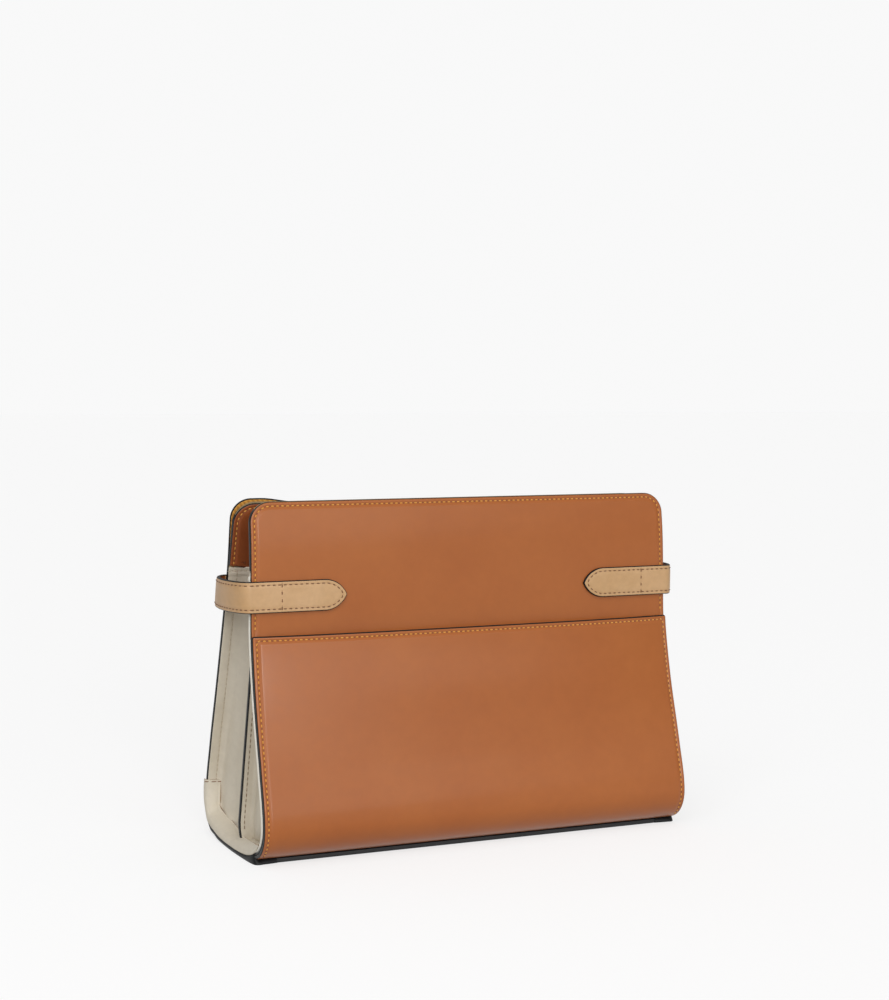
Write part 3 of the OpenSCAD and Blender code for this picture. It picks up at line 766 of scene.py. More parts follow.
def pleatX(z):
    depth = gusset["pleatLow"] + (gusset["pleatTop"] - gusset["pleatLow"]) * z / bag["gussetTop"]
    return halfWidthAt(z) - depth - curlAt(z)


def wallInside(side, z):
    line, depth = (frontLine, layers["frontPanel"][1]) if side < 0 else (backLine, layers["backInner"][1])
    lowest = foldCentre[2] - bag["foldRadius"] + depth + gusset["seat"]
    return float(insideDepth(line, depth, z)) if z > lowest else foldCentre[1] - 2


# The leather's inner line at one height, from the wall's edge into the pleat and out to the ridge
def pleatLine(side, z):
    edge = halfWidthAt(z) - gusset["edge"]
    wall = wallInside(side, z) - gusset["seat"]
    ridge = side * ridgeY(z) + gusset["halfRidge"]
    corners = np.array([[edge, wall], [edge - gusset["flange"], wall], [pleatX(z), (wall + ridge) / 2],
                        [ridgeX(z) - gusset["flange"], ridge], [ridgeX(z), ridge]])
    soften = [0, gusset["softCorner"], gusset["softValley"], gusset["softCorner"], 0]
    points = [corners[0]]
    for k in (1, 2, 3):
        before, here, after = corners[k - 1], corners[k], corners[k + 1]
        inLength, outLength = np.linalg.norm(here - before), np.linalg.norm(after - here)
        a = here + (before - here) / inLength * min(soften[k], inLength * 0.4)
        b = here + (after - here) / outLength * min(soften[k], outLength * 0.4)
        run = np.linspace(points[-1], a, 9)[1:]
        bowed = gusset["bow"] * np.sin(np.linspace(0, math.pi, 9))[1:, None] if k in (2, 3) else 0
        across = np.array([-(a - points[-1])[1], (a - points[-1])[0]]) / np.linalg.norm(a - points[-1])
        points.extend(run + bowed * across)
        points.extend(bendPoints(a, here, b, 7)[1:])
    points.extend(np.linspace(points[-1], corners[4], 6)[1:])
    return np.array(points)


def lineNormals(line):
    steps = np.gradient(line, axis=0)
    steps /= np.linalg.norm(steps, axis=1)[:, None]
    return np.stack([-steps[:, 1], steps[:, 0]], 1)


# The outer line's distance from the inner one: a bead at the front wall's edge, and a hem at the top
def gussetThickness(side, line, z):
    along = wayAlong(line)
    below = bag["gussetTop"] - z
    bead = np.sqrt(np.clip(1 - (np.clip(along / gusset["beadRound"] - 1, 0, None)) ** 2, 0, 1))
    share = smooth((below - gusset["beadDrop"]) / gusset["beadOver"])
    bead = gusset["bead"] * bead * share if side < 0 else 0
    hem = gusset["hem"] * smooth((gusset["hemDeep"] - below) / gusset["hemOver"])
    fromGroove = (below - gusset["hemStitch"]) / gusset["hemGrooveWide"]
    hem = hem - gusset["hemGroove"] * math.exp(-fromGroove ** 2)
    ridgeGroove = np.exp(-((along[-1] - along - gusset["ridgeStitch"]) / gusset["grooveWide"]) ** 2)
    flangeGroove = np.exp(-((along - gusset["flangeStitch"]) / gusset["grooveWide"]) ** 2)
    return gusset["thick"] + bead + hem - gusset["groove"] * (ridgeGroove + flangeGroove)


def gussetSection(side, z):
    inner = pleatLine(side, z)
    normals = lineNormals(inner)
    thick = gussetThickness(side, inner, z)
    fromTop = (bag["gussetTop"] - z) / gusset["topRound"]
    rounding = math.sqrt(max(0, 1 - max(0, 1 - fromTop) ** 2)) * 0.9 + 0.1
    middle = inner + normals * (thick / 2)[:, None]
    half = normals * (thick / 2 * rounding)[:, None]
    outerLine, innerLine = middle + half, middle - half
    out = np.array([1.0, 0])
    cap = [middle[0] + math.cos(a) * half[0] + math.sin(a) * out * thick[0] / 2 * rounding * 0.8
           for a in np.radians([150, 120, 90, 60, 30])]
    return np.concatenate([outerLine, innerLine[::-1], np.array(cap)])


def gussetHeights(side):
    depth = layers["frontPanel"][1] if side < 0 else layers["backInner"][1]
    radius = bag["foldRadius"] - depth
    fold = [foldCentre[2] - radius * math.cos(a) for a in np.radians(np.arange(12, 88, 6))]
    low = foldCentre[2] - radius + gusset["seat"]
    top = bag["gussetTop"]
    hem = [top - d for d in gusset["hemRows"]]
    rise = list(np.linspace(foldCentre[2], hem[0], gusset["rows"])[:-1])
    return [bag["gussetLow"], low - 0.05] + [z for z in fold if z > low + 0.2] + rise + hem


def gussetPiece(name, end, side):
    sections = []
    for z in gussetHeights(side):
        flat = gussetSection(side, z)
        sections.append(np.stack([end * flat[:, 0], side * flat[:, 1], np.full(len(flat), z)], 1))
    count = len(sections[0])
    # On the front half the bead's faces take the pale edge colour, partly a painted highlight
    kinds = [1 if side < 0 and (k < 3 or k >= count - 6) else 0 for k in range(count)]
    return loft(name, sections, [creamNappa, paleEdgeAndHighlight], kinds)


# A gusset half follows the base at the ridge and the wall at its flange
gussetBlend = {-1: ((0, -0.010, 0.182), (0, -0.0260, 0.1848)), 1: ((0, -0.010, 0.182), (0, 0.0093, 0.1876))}
walls = {-1: "front_wall", 1: "back_wall"}
sideNames = {-1: "Front", 1: "Back"}
endNames = {-1: "left", 1: "right"}


def blendToWall(piece, side):
    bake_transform(piece, "base", walls[side], *gussetBlend[side])


gussets = {(e, s): gussetPiece(endNames[e] + "Gusset" + sideNames[s], e, s)
           for e in (-1, 1) for s in (-1, 1)}
print("gussets made")


# Painted edge down each ridge, over both gusset halves and the divider
ridgeEdge = {"halfThick": 1.62, "proud": 0.45, "back": 0.5, "start": 0.4,
             "curlTo": 14, "curlRows": 8, "riseFrom": 18, "riseRows": 40}


def ridgeEdgePiece(name, end):
    curled = np.linspace(bag["gussetLow"] + ridgeEdge["start"], ridgeEdge["curlTo"], ridgeEdge["curlRows"])
    rise = np.linspace(ridgeEdge["riseFrom"], bag["dividerTop"], ridgeEdge["riseRows"])
    sections = []
    for z in np.concatenate([curled, rise]):
        x, y = ridgeX(z), ridgeY(z)
        arc = [(x + ridgeEdge["proud"] * math.cos(a), y + ridgeEdge["halfThick"] * math.sin(a))
               for a in np.radians(np.linspace(-90, 90, 9))]
        arc += [(x - ridgeEdge["back"], y + side * ridgeEdge["halfThick"]) for side in (1, -1)]
        sections.append([(end * p[0], p[1], z) for p in arc])
    return loft(name, sections, [edgePaint], [0] * 11)


ridgeEdges = {e: ridgeEdgePiece(endNames[e] + "RidgeEdge", e) for e in (-1, 1)}


# The divider's sides follow the ridges, which draw in at the foot
dividerSize = {"halfThick": 0.5, "rows": 12}


def dividerPiece():
    low, high = boxOf("divider")
    half = dividerSize["halfThick"]
    sections = []
    for z in np.concatenate([np.linspace(low[2], gusset["curlFrom"], dividerSize["rows"]), [high[2]]]):
        x, y = ridgeX(z), ridgeY(z)
        sections.append([(-x, y - half, z), (x, y - half, z), (x, y + half, z), (-x, y + half, z)])
    return loft("dividerSheet", sections, [creamNappa], [0] * 4)


dividerSheet = dividerPiece()


# Foot bands: sewn along the foot of each gusset, lapped over the back wall's edge and up beside it.
# Contour points: past the bag's side, share of the fold's centre from the middle to the back, height.
foot = {"upright": 35, "turn": 12, "lap": 0.35, "lapIn": 0.3, "thick": 0.8, "wall": 4.3,
        "round": 0.7, "groove": 0.22, "grooveAt": 2.2, "grooveWide": 0.4,
        "alongShare": 0.65, "upShare": 0.25, "pull": 0.5, "bendPoints": 25, "points": 15,
        "sideRow": 20, "sidePoint": 5, "edgeRows": [0, 0.25, 0.6, 1.0, 1.7, 2.2, 2.7, 3.3],
        "middleRows": 9, "stitchRow": 1, "stitchFrom": 4,
        "uprightInner": [[-9.6, 1.39, 34.4], [-9.4, 1.38, 27], [-9.0, 1.37, 20], [-8.6, 1.36, 16.5]],
        "cornerShare": [1, 0.95, 0.88] + [0.85] * 7,
        "outer": [[0.5, 1.31, 7.2], [0.9, 1.12, 5.2], [1.3, 0.92, 4.0], [2.3, 0.52, 2.7],
                  [2.7, 0.02, 2.5], [2.2, -0.49, 2.7], [1.2, -0.81, 3.7], [0.3, -1.01, 6.2],
                  [-0.2, -1.14, 9.9], [-0.4, -1.22, 13.5]],
        "inner": [[-9.6, 1.17, 12.3], [-10.6, 0.98, 10.4], [-11, 0.77, 8.8], [-10.2, 0.41, 7.0],
                  [-8.2, 0.11, 6.4], [-6, -0.31, 8.2], [-4, -0.64, 9.9], [-2.2, -0.91, 11.7],
                  [-1, -1.09, 12.8], [-0.7, -1.19, 13.7]]}


def resample(points, count):
    points = np.asarray(points, float)
    way = wayAlong(points)
    even = np.linspace(0, way[-1], count)
    return np.stack([np.interp(even, way, points[:, k]) for k in range(points.shape[1])], 1)


# A smooth line through points, with the same number of steps between each two
def smoothLine(points, steps):
    points = np.asarray(points, float)
    ends = np.concatenate([[2 * points[0] - points[1]], points, [2 * points[-1] - points[-2]]])
    line = []
    for a, b, c, d in zip(ends, ends[1:], ends[2:], ends[3:]):
        line.extend(curvePoint(a, b, c, d, t) for t in np.arange(steps) / steps)
    return np.array(line + [points[-1]])


# Contour points as places, from their distance past the side and their share of the fold's centre
def contourPlaces(points):
    return [[halfWidthAt(0) + out, share * foldCentre[1], z] for out, share, z in points]


def footContours():
    lap = halfWidthAt(0) + foot["lap"]
    rise = [row[2] for row in foot["uprightInner"]]
    rise[0] = foot["upright"]
    rise[-1] = foot["turn"]
    outerUpright = [[lap, np.interp(z, backLine["z"], backLine["y"]) - foot["lapIn"], z] for z in rise]
    corner = [[lap, y - foot["wall"], z] for _, y, z in outerUpright]
    innerUpright = contourPlaces(foot["uprightInner"])
    outer, inner = contourPlaces(foot["outer"]), contourPlaces(foot["inner"])
    along, up = foot["alongShare"], foot["upShare"]
    ridge = [[o[0] * w + i[0] * (1 - w), o[1] * along + i[1] * (1 - along), o[2] * up + i[2] * (1 - up)]
             for w, o, i in zip(foot["cornerShare"], outer, inner)]
    return (smoothLine(line, 6) for line in (outerUpright + outer, corner + ridge, innerUpright + inner))


# Height of the band's outer face above its inner one, by distance from its nearer edge
def footRelief(d):
    rounded = math.sqrt(1 - (1 - min(max(d, 0) / foot["round"], 1)) ** 2)
    groove = foot["groove"] * math.exp(-((d - foot["grooveAt"]) / foot["grooveWide"]) ** 2)
    return foot["thick"] * (0.35 + 0.65 * rounded) - groove


def footSurface():
    outer, corner, inner = footContours()
    rungs = []
    for o, c, i in zip(outer, corner, inner):
        toward = c + foot["pull"] * (c - (o + i) / 2)
        rungs.append(resample(bendPoints(o, toward, i, foot["bendPoints"]), foot["points"]))
    grid = np.array(rungs)
    along, across = np.gradient(grid, axis=0), np.gradient(grid, axis=1)
    normals = np.cross(along, across)
    normals /= np.linalg.norm(normals, axis=2)[:, :, None]
    # One on the band's side tells which way they all point
    if normals[foot["sideRow"], foot["sidePoint"], 0] < 0:
        normals = -normals
    return grid, normals


def footPiece(name, end):
    grid, normals = footSurface()
    near = np.array(foot["edgeRows"])
    sections = []
    for row, normal in zip(grid, normals):
        way = wayAlong(row)
        middle = np.linspace(near[-1], way[-1] - near[-1], foot["middleRows"])[1:]
        places = np.concatenate([near, middle, way[-1] - near[-2::-1]])
        base = np.stack([np.interp(places, way, row[:, k]) for k in range(3)], 1)
        lift = np.stack([np.interp(places, way, normal[:, k]) for k in range(3)], 1)
        height = np.array([footRelief(min(p, way[-1] - p)) for p in places])
        section = np.concatenate([base + lift * height[:, None], base[::-1]])
        section[:, 0] *= end
        sections.append(section)
    count = len(sections[0])
    kinds = [1 if count // 2 - 4 < k < count // 2 or k == count - 1 else 0 for k in range(count)]
    return loft(name, sections, [creamNappa, cutEdge], kinds, capMaterial=1)


footBands = {e: footPiece(endNames[e] + "FootBand", e) for e in (-1, 1)}


# Painted edge of the base's ends, from the back corner round to the front, below the foot band.
# Contour points as for the band: its upper line is the band's own as far as the front corner, and
# its lower one runs down from the fold to lie on the floor.
baseEdge = {"front": [[-1.4, -1.09, 3.3], [-6, -1.11, 3.0], [-14, -1.1, 2.9]],
            "lower": [[0.8, 1.34, 7.0], [1.5, 1.14, 3.1], [2.0, 0.89, 1.9], [2.9, 0.61, 1.0],
                      [3.1, 0.2, 0.3], [3.1, -0.2, 0.15], [2.9, -0.59, 0.3], [1.8, -1.0, 0.2],
                      [-0.4, -1.13, 0.1], [-6, -1.13, 0.1], [-14, -1.11, 0.1]],
            "under": 0.5, "overlap": 0.4, "swell": 1, "back": 2.2, "low": 0.08}


def baseEdgePiece(name, end):
    upper = smoothLine(contourPlaces(foot["outer"][:8] + baseEdge["front"]), 6)
    lower = smoothLine(contourPlaces(baseEdge["lower"]), 6)
    runs = np.gradient(lower, axis=0)[:, :2]
    outs = np.stack([-runs[:, 1], runs[:, 0], np.zeros(len(runs))], 1)
    outs /= np.linalg.norm(runs, axis=1)[:, None]
    sections = []
    for top, bottom, out in zip(upper, lower, outs):
        top = top - baseEdge["under"] * out + [0, 0, baseEdge["overlap"]]
        bottom[2] = max(bottom[2], baseEdge["low"])
        swell = (top + bottom) / 2 + baseEdge["swell"] * out
        face = bendPoints(top, swell, bottom, 7)
        inside = [bottom - baseEdge["back"] * out, top - baseEdge["back"] * out]
        sections.append(np.concatenate([face, inside]) * [end, 1, 1])
    return loft(name, sections, [edgePaint], [0] * 9)


baseEdges = {e: baseEdgePiece(endNames[e] + "BaseEdge", e) for e in (-1, 1)}


# The foot of the gussets turned out under the band, over the base lining. Away from the middle of
# the side it climbs, from "from" and over "over", onto the walls' fold, as far out as "reach".
footSeam = {"thick": 0.38, "low": 0.28, "from": 37.5, "over": 4.5, "reach": 49, "radius": 17.2,
            "under": 1.5, "inner": 8, "outer": 3, "pleatFrom": 10, "step": 0.8}


def footSeamLift(y):
    past = abs(y) - footSeam["from"]
    if past <= 0:
        return 0
    rise = foldCentre[2] - math.sqrt(footSeam["radius"] ** 2 - (abs(y) - foldCentre[1]) ** 2)
    return float(smooth(past / footSeam["over"])) * (rise - bag["gussetLow"] + footSeam["low"])


def footSeamPiece(name, end):
    edge = halfWidthAt(0)
    front, back = ([p for p in pleatLine(side, bag["gussetLow"]) if p[0] < edge - footSeam["pleatFrom"]]
                   for side in (-1, 1))
    run = [(x, -y) for x, y in front] + [(x, y) for x, y in back[::-1]]
    outward = np.linspace(footSeam["reach"], abs(run[0][1]) + footSeam["step"], 10)
    toFront = [(edge - footSeam["inner"], math.copysign(y, run[0][1])) for y in outward]
    toBack = [(x, math.copysign(y, run[-1][1])) for x, y in toFront[::-1]]
    sections = []
    for x, y in toFront + run + toBack:
        low = bag["gussetLow"] - footSeam["low"] + footSeamLift(y)
        inside, outside = end * (x - footSeam["under"]), end * (edge - footSeam["outer"])
        sections.append([(inside, y, low), (outside, y, low), (outside, y, low + footSeam["thick"]),
                         (inside, y, low + footSeam["thick"])])
    return loft(name, sections, [creamNappa], [0] * 4)


footSeams = {e: footSeamPiece(endNames[e] + "FootSeam", e) for e in (-1, 1)}
print("foot bands made")


# Side straps: a pointed tab on each wall and the free part round the side
strap = {"half": 10, "thick": 2.25, "lining": 1.02, "z": sum(boxOf("left_strap_loop"))[2] / 2,
         "tip": boxOf("right_strap_front")[0][0], "point": 15, "tabEnd": boxOf("right_strap_front")[1][0],
         "reach": boxOf("right_strap_loop")[1][0], "seat": 0.3, "stitchIn": 2.3, "crossStitch": 130.9,
         "crown": 0.25, "edgeDrop": 0.35, "edgeRadius": 0.8, "groove": 0.07, "grooveWide": 0.35,
         "edgeSwell": 0.15, "crossReach": 7.2, "crossRise": 0.2, "crownFrom": 2.4, "crownOver": 2,
         "tabSeat": 0.05, "liningTop": 1.0, "liningSeat": 0.02, "blendShort": 0.4}
strapRings = [0, 0.1, 0.25, 0.45, 0.9, 1.6, 2.0, 2.3, 2.6, 3.1, 4.0]
ladder = [0.8, 0.5, 0.2, -0.2, -0.5, -0.8]


def strapRelief(d):
    rounding = -strap["edgeDrop"] * (1 - min(d / strap["edgeRadius"], 1)) ** 2
    groove = -strap["groove"] * math.exp(-((d - strap["stitchIn"]) / strap["grooveWide"]) ** 2)
    return rounding + groove + strap["crown"] * float(smooth((d - strap["crownFrom"]) / strap["crownOver"]))


# Stations round the strap's section: share across, distance in from the edge, height and finish
def strapStations(thick, bottom, paint=1):
    rings = [(1, d, thick + strapRelief(d), paint if d <= 0.25 else 0) for d in strapRings[::-1]]
    high = thick - strap["edgeDrop"]
    edge = [(1, -strap["edgeSwell"] * math.sin(math.pi * t), high - (high - bottom) * t, paint)
            for t in (0.25, 0.5, 0.75, 1)]
    under = [(1, 0.3, bottom, 2), (1, strapRings[-1], bottom, 2)]
    half = rings + edge + under
    mirrored = [(-s, d, w, m) for s, d, w, m in half[::-1]]
    rungsIn = [(f, strapRings[-1], bottom, 2) for f in ladder]
    rungsOut = [(f, strapRings[-1], thick + strapRelief(strapRings[-1]), 0) for f in ladder[::-1]]
    stations = half + rungsIn + mirrored + rungsOut
    kinds = [max(a[3], b[3]) if 2 in (a[3], b[3]) and a[2] == b[2] else (1 if 1 in (a[3], b[3]) else a[3])
             for a, b in zip(stations, stations[1:] + stations[:1])]
    return stations, kinds


# Tab outline at one step, moved in by d: straight to the point, then along its arc to the tip
def tabContour(step, d):
    radius = (strap["point"] ** 2 + strap["half"] ** 2) / (2 * strap["half"])
    start = strap["tip"] + strap["point"]
    if step <= 0:
        return strap["tabEnd"] + (start - strap["tabEnd"]) * (step + 1), strap["half"] - d
    last = math.asin((radius - strap["half"]) / (radius - d))
    angle = math.pi / 2 - (math.pi / 2 - last) * step
    return start - (radius - d) * math.cos(angle), (radius - d) * math.sin(angle) - (radius - strap["half"])


# Where a tab sits on its wall, out from the middle, and the wall's lean there
def strapSeat(line, depth):
    low, high = np.interp(strap["z"] + strap["half"] * np.array([-1, 1]), line["z"], line["y"])
    lean = math.atan2(high - low, 2 * strap["half"])
    return np.interp(strap["z"], line["z"], line["y"]) - depth / math.cos(lean) + strap["seat"], lean


strapSeats = {-1: strapSeat(frontLine, layers["frontPanel"][0]), 1: strapSeat(backLine, 0)}


# Point on a tab: along X, up the strap and out from the wall
def tabPlace(end, side, x, v, out):
    seat, lean = strapSeats[side]
    y = seat + v * math.sin(lean) + out * math.cos(lean)
    z = strap["z"] + v * math.cos(lean) - out * math.sin(lean)
    return (end * x, side * y, z)


def tabPiece(name, end, side):
    stations, kinds = strapStations(strap["thick"], strap["tabSeat"])
    steps = list(np.linspace(-1, 0, 14)) + list(np.linspace(0, 1, 15)[1:])
    sections = []
    for step in steps:
        row = []
        for share, d, out, _ in stations:
            x, v = tabContour(step, d)
            row.append(tabPlace(end, side, x, v * share, out))
        sections.append(row)
    return loft(name, sections, [strapLeather, edgePaint, strapLeather], kinds, caps=(True, False))


# The free part's outer line, half an oval seen from above, from the wall's tab to halfway round
def loopPath(side):
    seat, lean = strapSeats[side]
    middle = (seat - strapSeats[-side][0]) / 2
    span, reach = seat + strap["thick"] - middle, strap["reach"] - strap["tabEnd"]
    turns = np.radians(np.concatenate([[90, 88], np.linspace(85, 5, 17), [2, 0]]))
    angles = [math.atan2(math.sin(t) * span, math.cos(t) * reach) for t in turns]
    points = np.array([(strap["tabEnd"] + reach * math.cos(a), middle + span * math.sin(a))
                       for a in angles])
    outs = np.stack([np.cos(turns), np.sin(turns)], 1)
    leans = [lean * math.sin(a) + (lean - strapSeats[-side][1]) / 2 * (1 - math.sin(a)) for a in angles]
    return points, outs, leans


# Point on the free part: step along it, up the strap and out from its inner face
def loopPlace(end, side, path, k, v, out):
    (x, y), (outX, outY), lean = path[0][k], path[1][k], path[2][k]
    inward = strap["thick"] - out
    return (end * (x - outX * inward), side * (y + v * math.sin(lean) - outY * inward * math.cos(lean)),
            strap["z"] + v * math.cos(lean) + outY * (inward - strap["thick"]) * math.sin(lean))


def loopPiece(name, end, side, thick, bottom, materials, paint=1):
    stations, kinds = strapStations(thick, bottom, paint)
    path = loopPath(side)
    sections = [[loopPlace(end, side, path, k, (strap["half"] - d) * share, out)
                 for share, d, out, _ in stations] for k in range(len(path[0]))]
    return loft(name, sections, materials, kinds)


# From the middle of the side, where a strap stays with the base, to the wall's tab, square to the wall
def loopBlend(side):
    seat, lean = strapSeats[side]
    middle = (seat - strapSeats[-side][0]) / 2
    reach = (seat - middle) * math.cos(lean) - strap["blendShort"]
    end = (0, side * (middle + reach * math.cos(lean)), strap["z"] - reach * math.sin(lean))
    return tuple(0.001 * v for v in (0, side * middle, strap["z"])), tuple(0.001 * v for v in end)


tabs, loops, loopLinings = {}, {}, {}
for end in (-1, 1):
    for side in (-1, 1):
        where = (end, side)
        tabs[where] = tabPiece(endNames[end] + "Strap" + sideNames[side], end, side)
        loops[where] = loopPiece(endNames[end] + "Loop" + sideNames[side], end, side, strap["thick"],
                                 strap["lining"], [strapLeather, edgePaint, strapLeather])
        # The linings take the darker calf, whose colour is painted shade
        loopLinings[where] = loopPiece(endNames[end] + "LoopLining" + sideNames[side], end, side,
                                       strap["liningTop"], strap["liningSeat"],
                                       [shadedFacingCalf, edgePaint, shadedFacingCalf])
print("straps made")


# Rows of stitches, made along polylines by one node tree

def stitchTree():
    tree = bpy.data.node_groups.new("stitchRows", "GeometryNodeTree")
    face = tree.interface
    face.new_socket("Path", in_out="INPUT", socket_type="NodeSocketGeometry")
    for label, value in (("Pitch", 0.003), ("Stitch Length", 0.002),
                         ("Thread Radius", 0.0003), ("Hole Radius", 0.0004)):
        face.new_socket(label, in_out="INPUT", socket_type="NodeSocketFloat").default_value = value
    for label in ("Thread", "Hole"):
        face.new_socket(label, in_out="INPUT", socket_type="NodeSocketMaterial")
    face.new_socket("Stitches", in_out="OUTPUT", socket_type="NodeSocketGeometry")
    into = addNode(tree, "NodeGroupInput").outputs
    curve = addNode(tree, "GeometryNodeMeshToCurve", None, {"Mesh": into["Path"]})
    points = addNode(tree, "GeometryNodeResampleCurve", {"mode": "LENGTH"},
                     {"Curve": curve.outputs["Curve"], "Length": into["Pitch"]})
    tangent = addNode(tree, "GeometryNodeInputTangent")
    away = addNode(tree, "GeometryNodeInputNamedAttribute", {"data_type": "FLOAT_VECTOR"}, {"Name": "away"})
    turn = addNode(tree, "FunctionNodeAxesToRotation", {"primary_axis": "X", "secondary_axis": "Z"},
                   {0: tangent.outputs["Tangent"], 1: away.outputs["Attribute"]})

    def shareOf(label, share):
        timesShare = addNode(tree, "ShaderNodeMath", {"operation": "MULTIPLY"}, {0: into[label], 1: share})
        return timesShare.outputs[0]

    under = shareOf("Thread Radius", -0.8)
    start = addNode(tree, "ShaderNodeCombineXYZ", None, {"X": shareOf("Stitch Length", -0.5), "Z": under})
    top = addNode(tree, "ShaderNodeCombineXYZ", None, {"Z": shareOf("Thread Radius", 2)})
    stop = addNode(tree, "ShaderNodeCombineXYZ", None, {"X": shareOf("Stitch Length", 0.5), "Z": under})
    arc = addNode(tree, "GeometryNodeCurveQuadraticBezier", None, {
        "Resolution": 5, "Start": start.outputs[0], "Middle": top.outputs[0], "End": stop.outputs[0]})
    ring = addNode(tree, "GeometryNodeCurvePrimitiveCircle", None,
                   {"Resolution": 6, "Radius": into["Thread Radius"]})
    thread = addNode(tree, "GeometryNodeCurveToMesh", None, {
        "Curve": arc.outputs["Curve"], "Profile Curve": ring.outputs["Curve"], "Fill Caps": True})
    marked = addNode(tree, "GeometryNodeStoreNamedAttribute", {"data_type": "BOOLEAN", "domain": "FACE"},
                     {"Geometry": thread.outputs["Mesh"], "Name": "isThread", "Value": True})
    # A flattened dark bead halfway between stitches stands for the hole, its colour painted shade
    bead = addNode(tree, "GeometryNodeMeshUVSphere", None,
                   {"Segments": 8, "Rings": 4, "Radius": into["Hole Radius"]})
    between = addNode(tree, "ShaderNodeCombineXYZ", None, {"X": shareOf("Pitch", 0.5)})
    hole = addNode(tree, "GeometryNodeTransform", None, {
        "Geometry": bead.outputs["Mesh"], "Translation": between.outputs[0], "Scale": (1.15, 0.85, 0.3)})
    both = addNode(tree, "GeometryNodeJoinGeometry")
    tree.links.new(marked.outputs["Geometry"], both.inputs["Geometry"])
    tree.links.new(hole.outputs["Geometry"], both.inputs["Geometry"])
    placed = addNode(tree, "GeometryNodeInstanceOnPoints", None, {
        "Points": points.outputs["Curve"], "Instance": both.outputs["Geometry"],
        "Rotation": turn.outputs["Rotation"]})
    real = addNode(tree, "GeometryNodeRealizeInstances", None, {"Geometry": placed.outputs["Instances"]})
    dark = addNode(tree, "GeometryNodeSetMaterial", None,
                   {"Geometry": real.outputs["Geometry"], "Material": into["Hole"]})
    isThread = addNode(tree, "GeometryNodeInputNamedAttribute", {"data_type": "BOOLEAN"},
                       {"Name": "isThread"})
    bright = addNode(tree, "GeometryNodeSetMaterial", None, {
        "Geometry": dark.outputs["Geometry"], "Selection": isThread.outputs["Attribute"],
        "Material": into["Thread"]})
    addNode(tree, "NodeGroupOutput", None, {"Stitches": bright.outputs["Geometry"]})
    return tree


stitchNodes = stitchTree()


# Each row is its points, in millimetres, and the direction away from the leather at each
def stitchPiece(name, rows, thread, size):
    vertices, edges, aways = [], [], []
    for points, away in rows:
        first = len(vertices)
        vertices.extend((np.asarray(points) / 1000).tolist())
        aways.extend(np.asarray(away).tolist())
        edges.extend((first + k, first + k + 1) for k in range(len(points) - 1))
    mesh = bpy.data.meshes.new(name + "Path")
    mesh.from_pydata(vertices, edges, [])
    attribute = mesh.attributes.new("away", "FLOAT_VECTOR", "POINT")
    attribute.data.foreach_set("vector", np.array(aways, np.float32).ravel())
    path = putInScene(name + "Path", mesh)
    modifier = path.modifiers.new("stitches", "NODES")
    modifier.node_group = stitchNodes
    values = {"Pitch": size["pitch"] / 1000, "Stitch Length": size["length"] / 1000,
              "Thread Radius": size["radius"] / 1000, "Hole Radius": size["hole"] / 1000,
              "Thread": thread, "Hole": holeShade}
    for item in stitchNodes.interface.items_tree:
        if item.item_type == "SOCKET" and item.in_out == "INPUT" and item.name in values:
            modifier[item.identifier] = values[item.name]
    graph = bpy.context.evaluated_depsgraph_get()
    made = bpy.data.meshes.new_from_object(path.evaluated_get(graph))
    bpy.data.objects.remove(path)
    made.polygons.foreach_set("use_smooth", [True] * len(made.polygons))
    for leftover in [a.name for a in made.attributes if a.name in ("isThread", "away")]:
        made.attributes.remove(made.attributes[leftover])
    return putInScene(name, made)


# A row in a wall layer's stitch groove, up one side from a way along, over the top and down again
def layerRow(shape, place, depth, relief, lowest):
    flat = outline(shape, sewn["grooveAt"])
    nx, ny = outlineCells(shape)
    flat = np.roll(flat, -nx, axis=0)[:2 * ny + nx + 1]
    flat = flat[flat[:, 1] > lowest]
    out = -depth + relief(sewn["grooveAt"], flat)
    points = place(flat[:, 0], flat[:, 1], out)
    above = place(flat[:, 0], flat[:, 1], out + 1)
    return points, above - points


panelStitch = {"pitch": 3.4, "length": 1.6, "radius": 0.38, "hole": 0.85}
strapStitch = {"pitch": 3.7, "length": 2.0, "radius": 0.36, "hole": 0.2}
gussetStitch = {"pitch": 3.6, "length": 2.3, "radius": 0.3, "hole": 0.2}
footStitch = {"pitch": 4.2, "length": 3.0, "radius": 0.3, "hole": 0.2}

# Lower ends of the rows: a way along on the fold and one at the pocket's mouth, and inside the
# walls a height over the gussets
rowStart = {"fold": 14, "mouth": pocketTopWay + 1, "inside": bag["gussetTop"] + 4}
frontRows = [
    layerRow(pocketShape, pocketPlace, 0, sewnRelief(pocketShape, lowFade), rowStart["fold"]),
    layerRow(panelShape, frontPlace, layers["frontPanel"][0], sewnRelief(panelShape, aboveMouth),
             rowStart["mouth"]),
    layerRow(frontFacingShape, innerPlace(frontPlace, *layers["frontFacing"]), layers["frontFacing"][0],
             beadedRelief(frontFacingShape, frontLine), wayAt(frontLine, rowStart["inside"])),
]
backRows = [
    layerRow(backPanelShape, slipPlace, 0, sewnRelief(backPanelShape, lowFade), rowStart["fold"]),
    layerRow(backFacingShape, innerPlace(backPlace, *layers["backFacing"]), layers["backFacing"][0],
             sewnRelief(backFacingShape, innerShare), wayAt(backLine, rowStart["inside"])),
]
frontStitches = stitchPiece("frontWallStitches", frontRows, ochreThread, panelStitch)
backStitches = stitchPiece("backWallStitches", backRows, ochreThread, panelStitch)


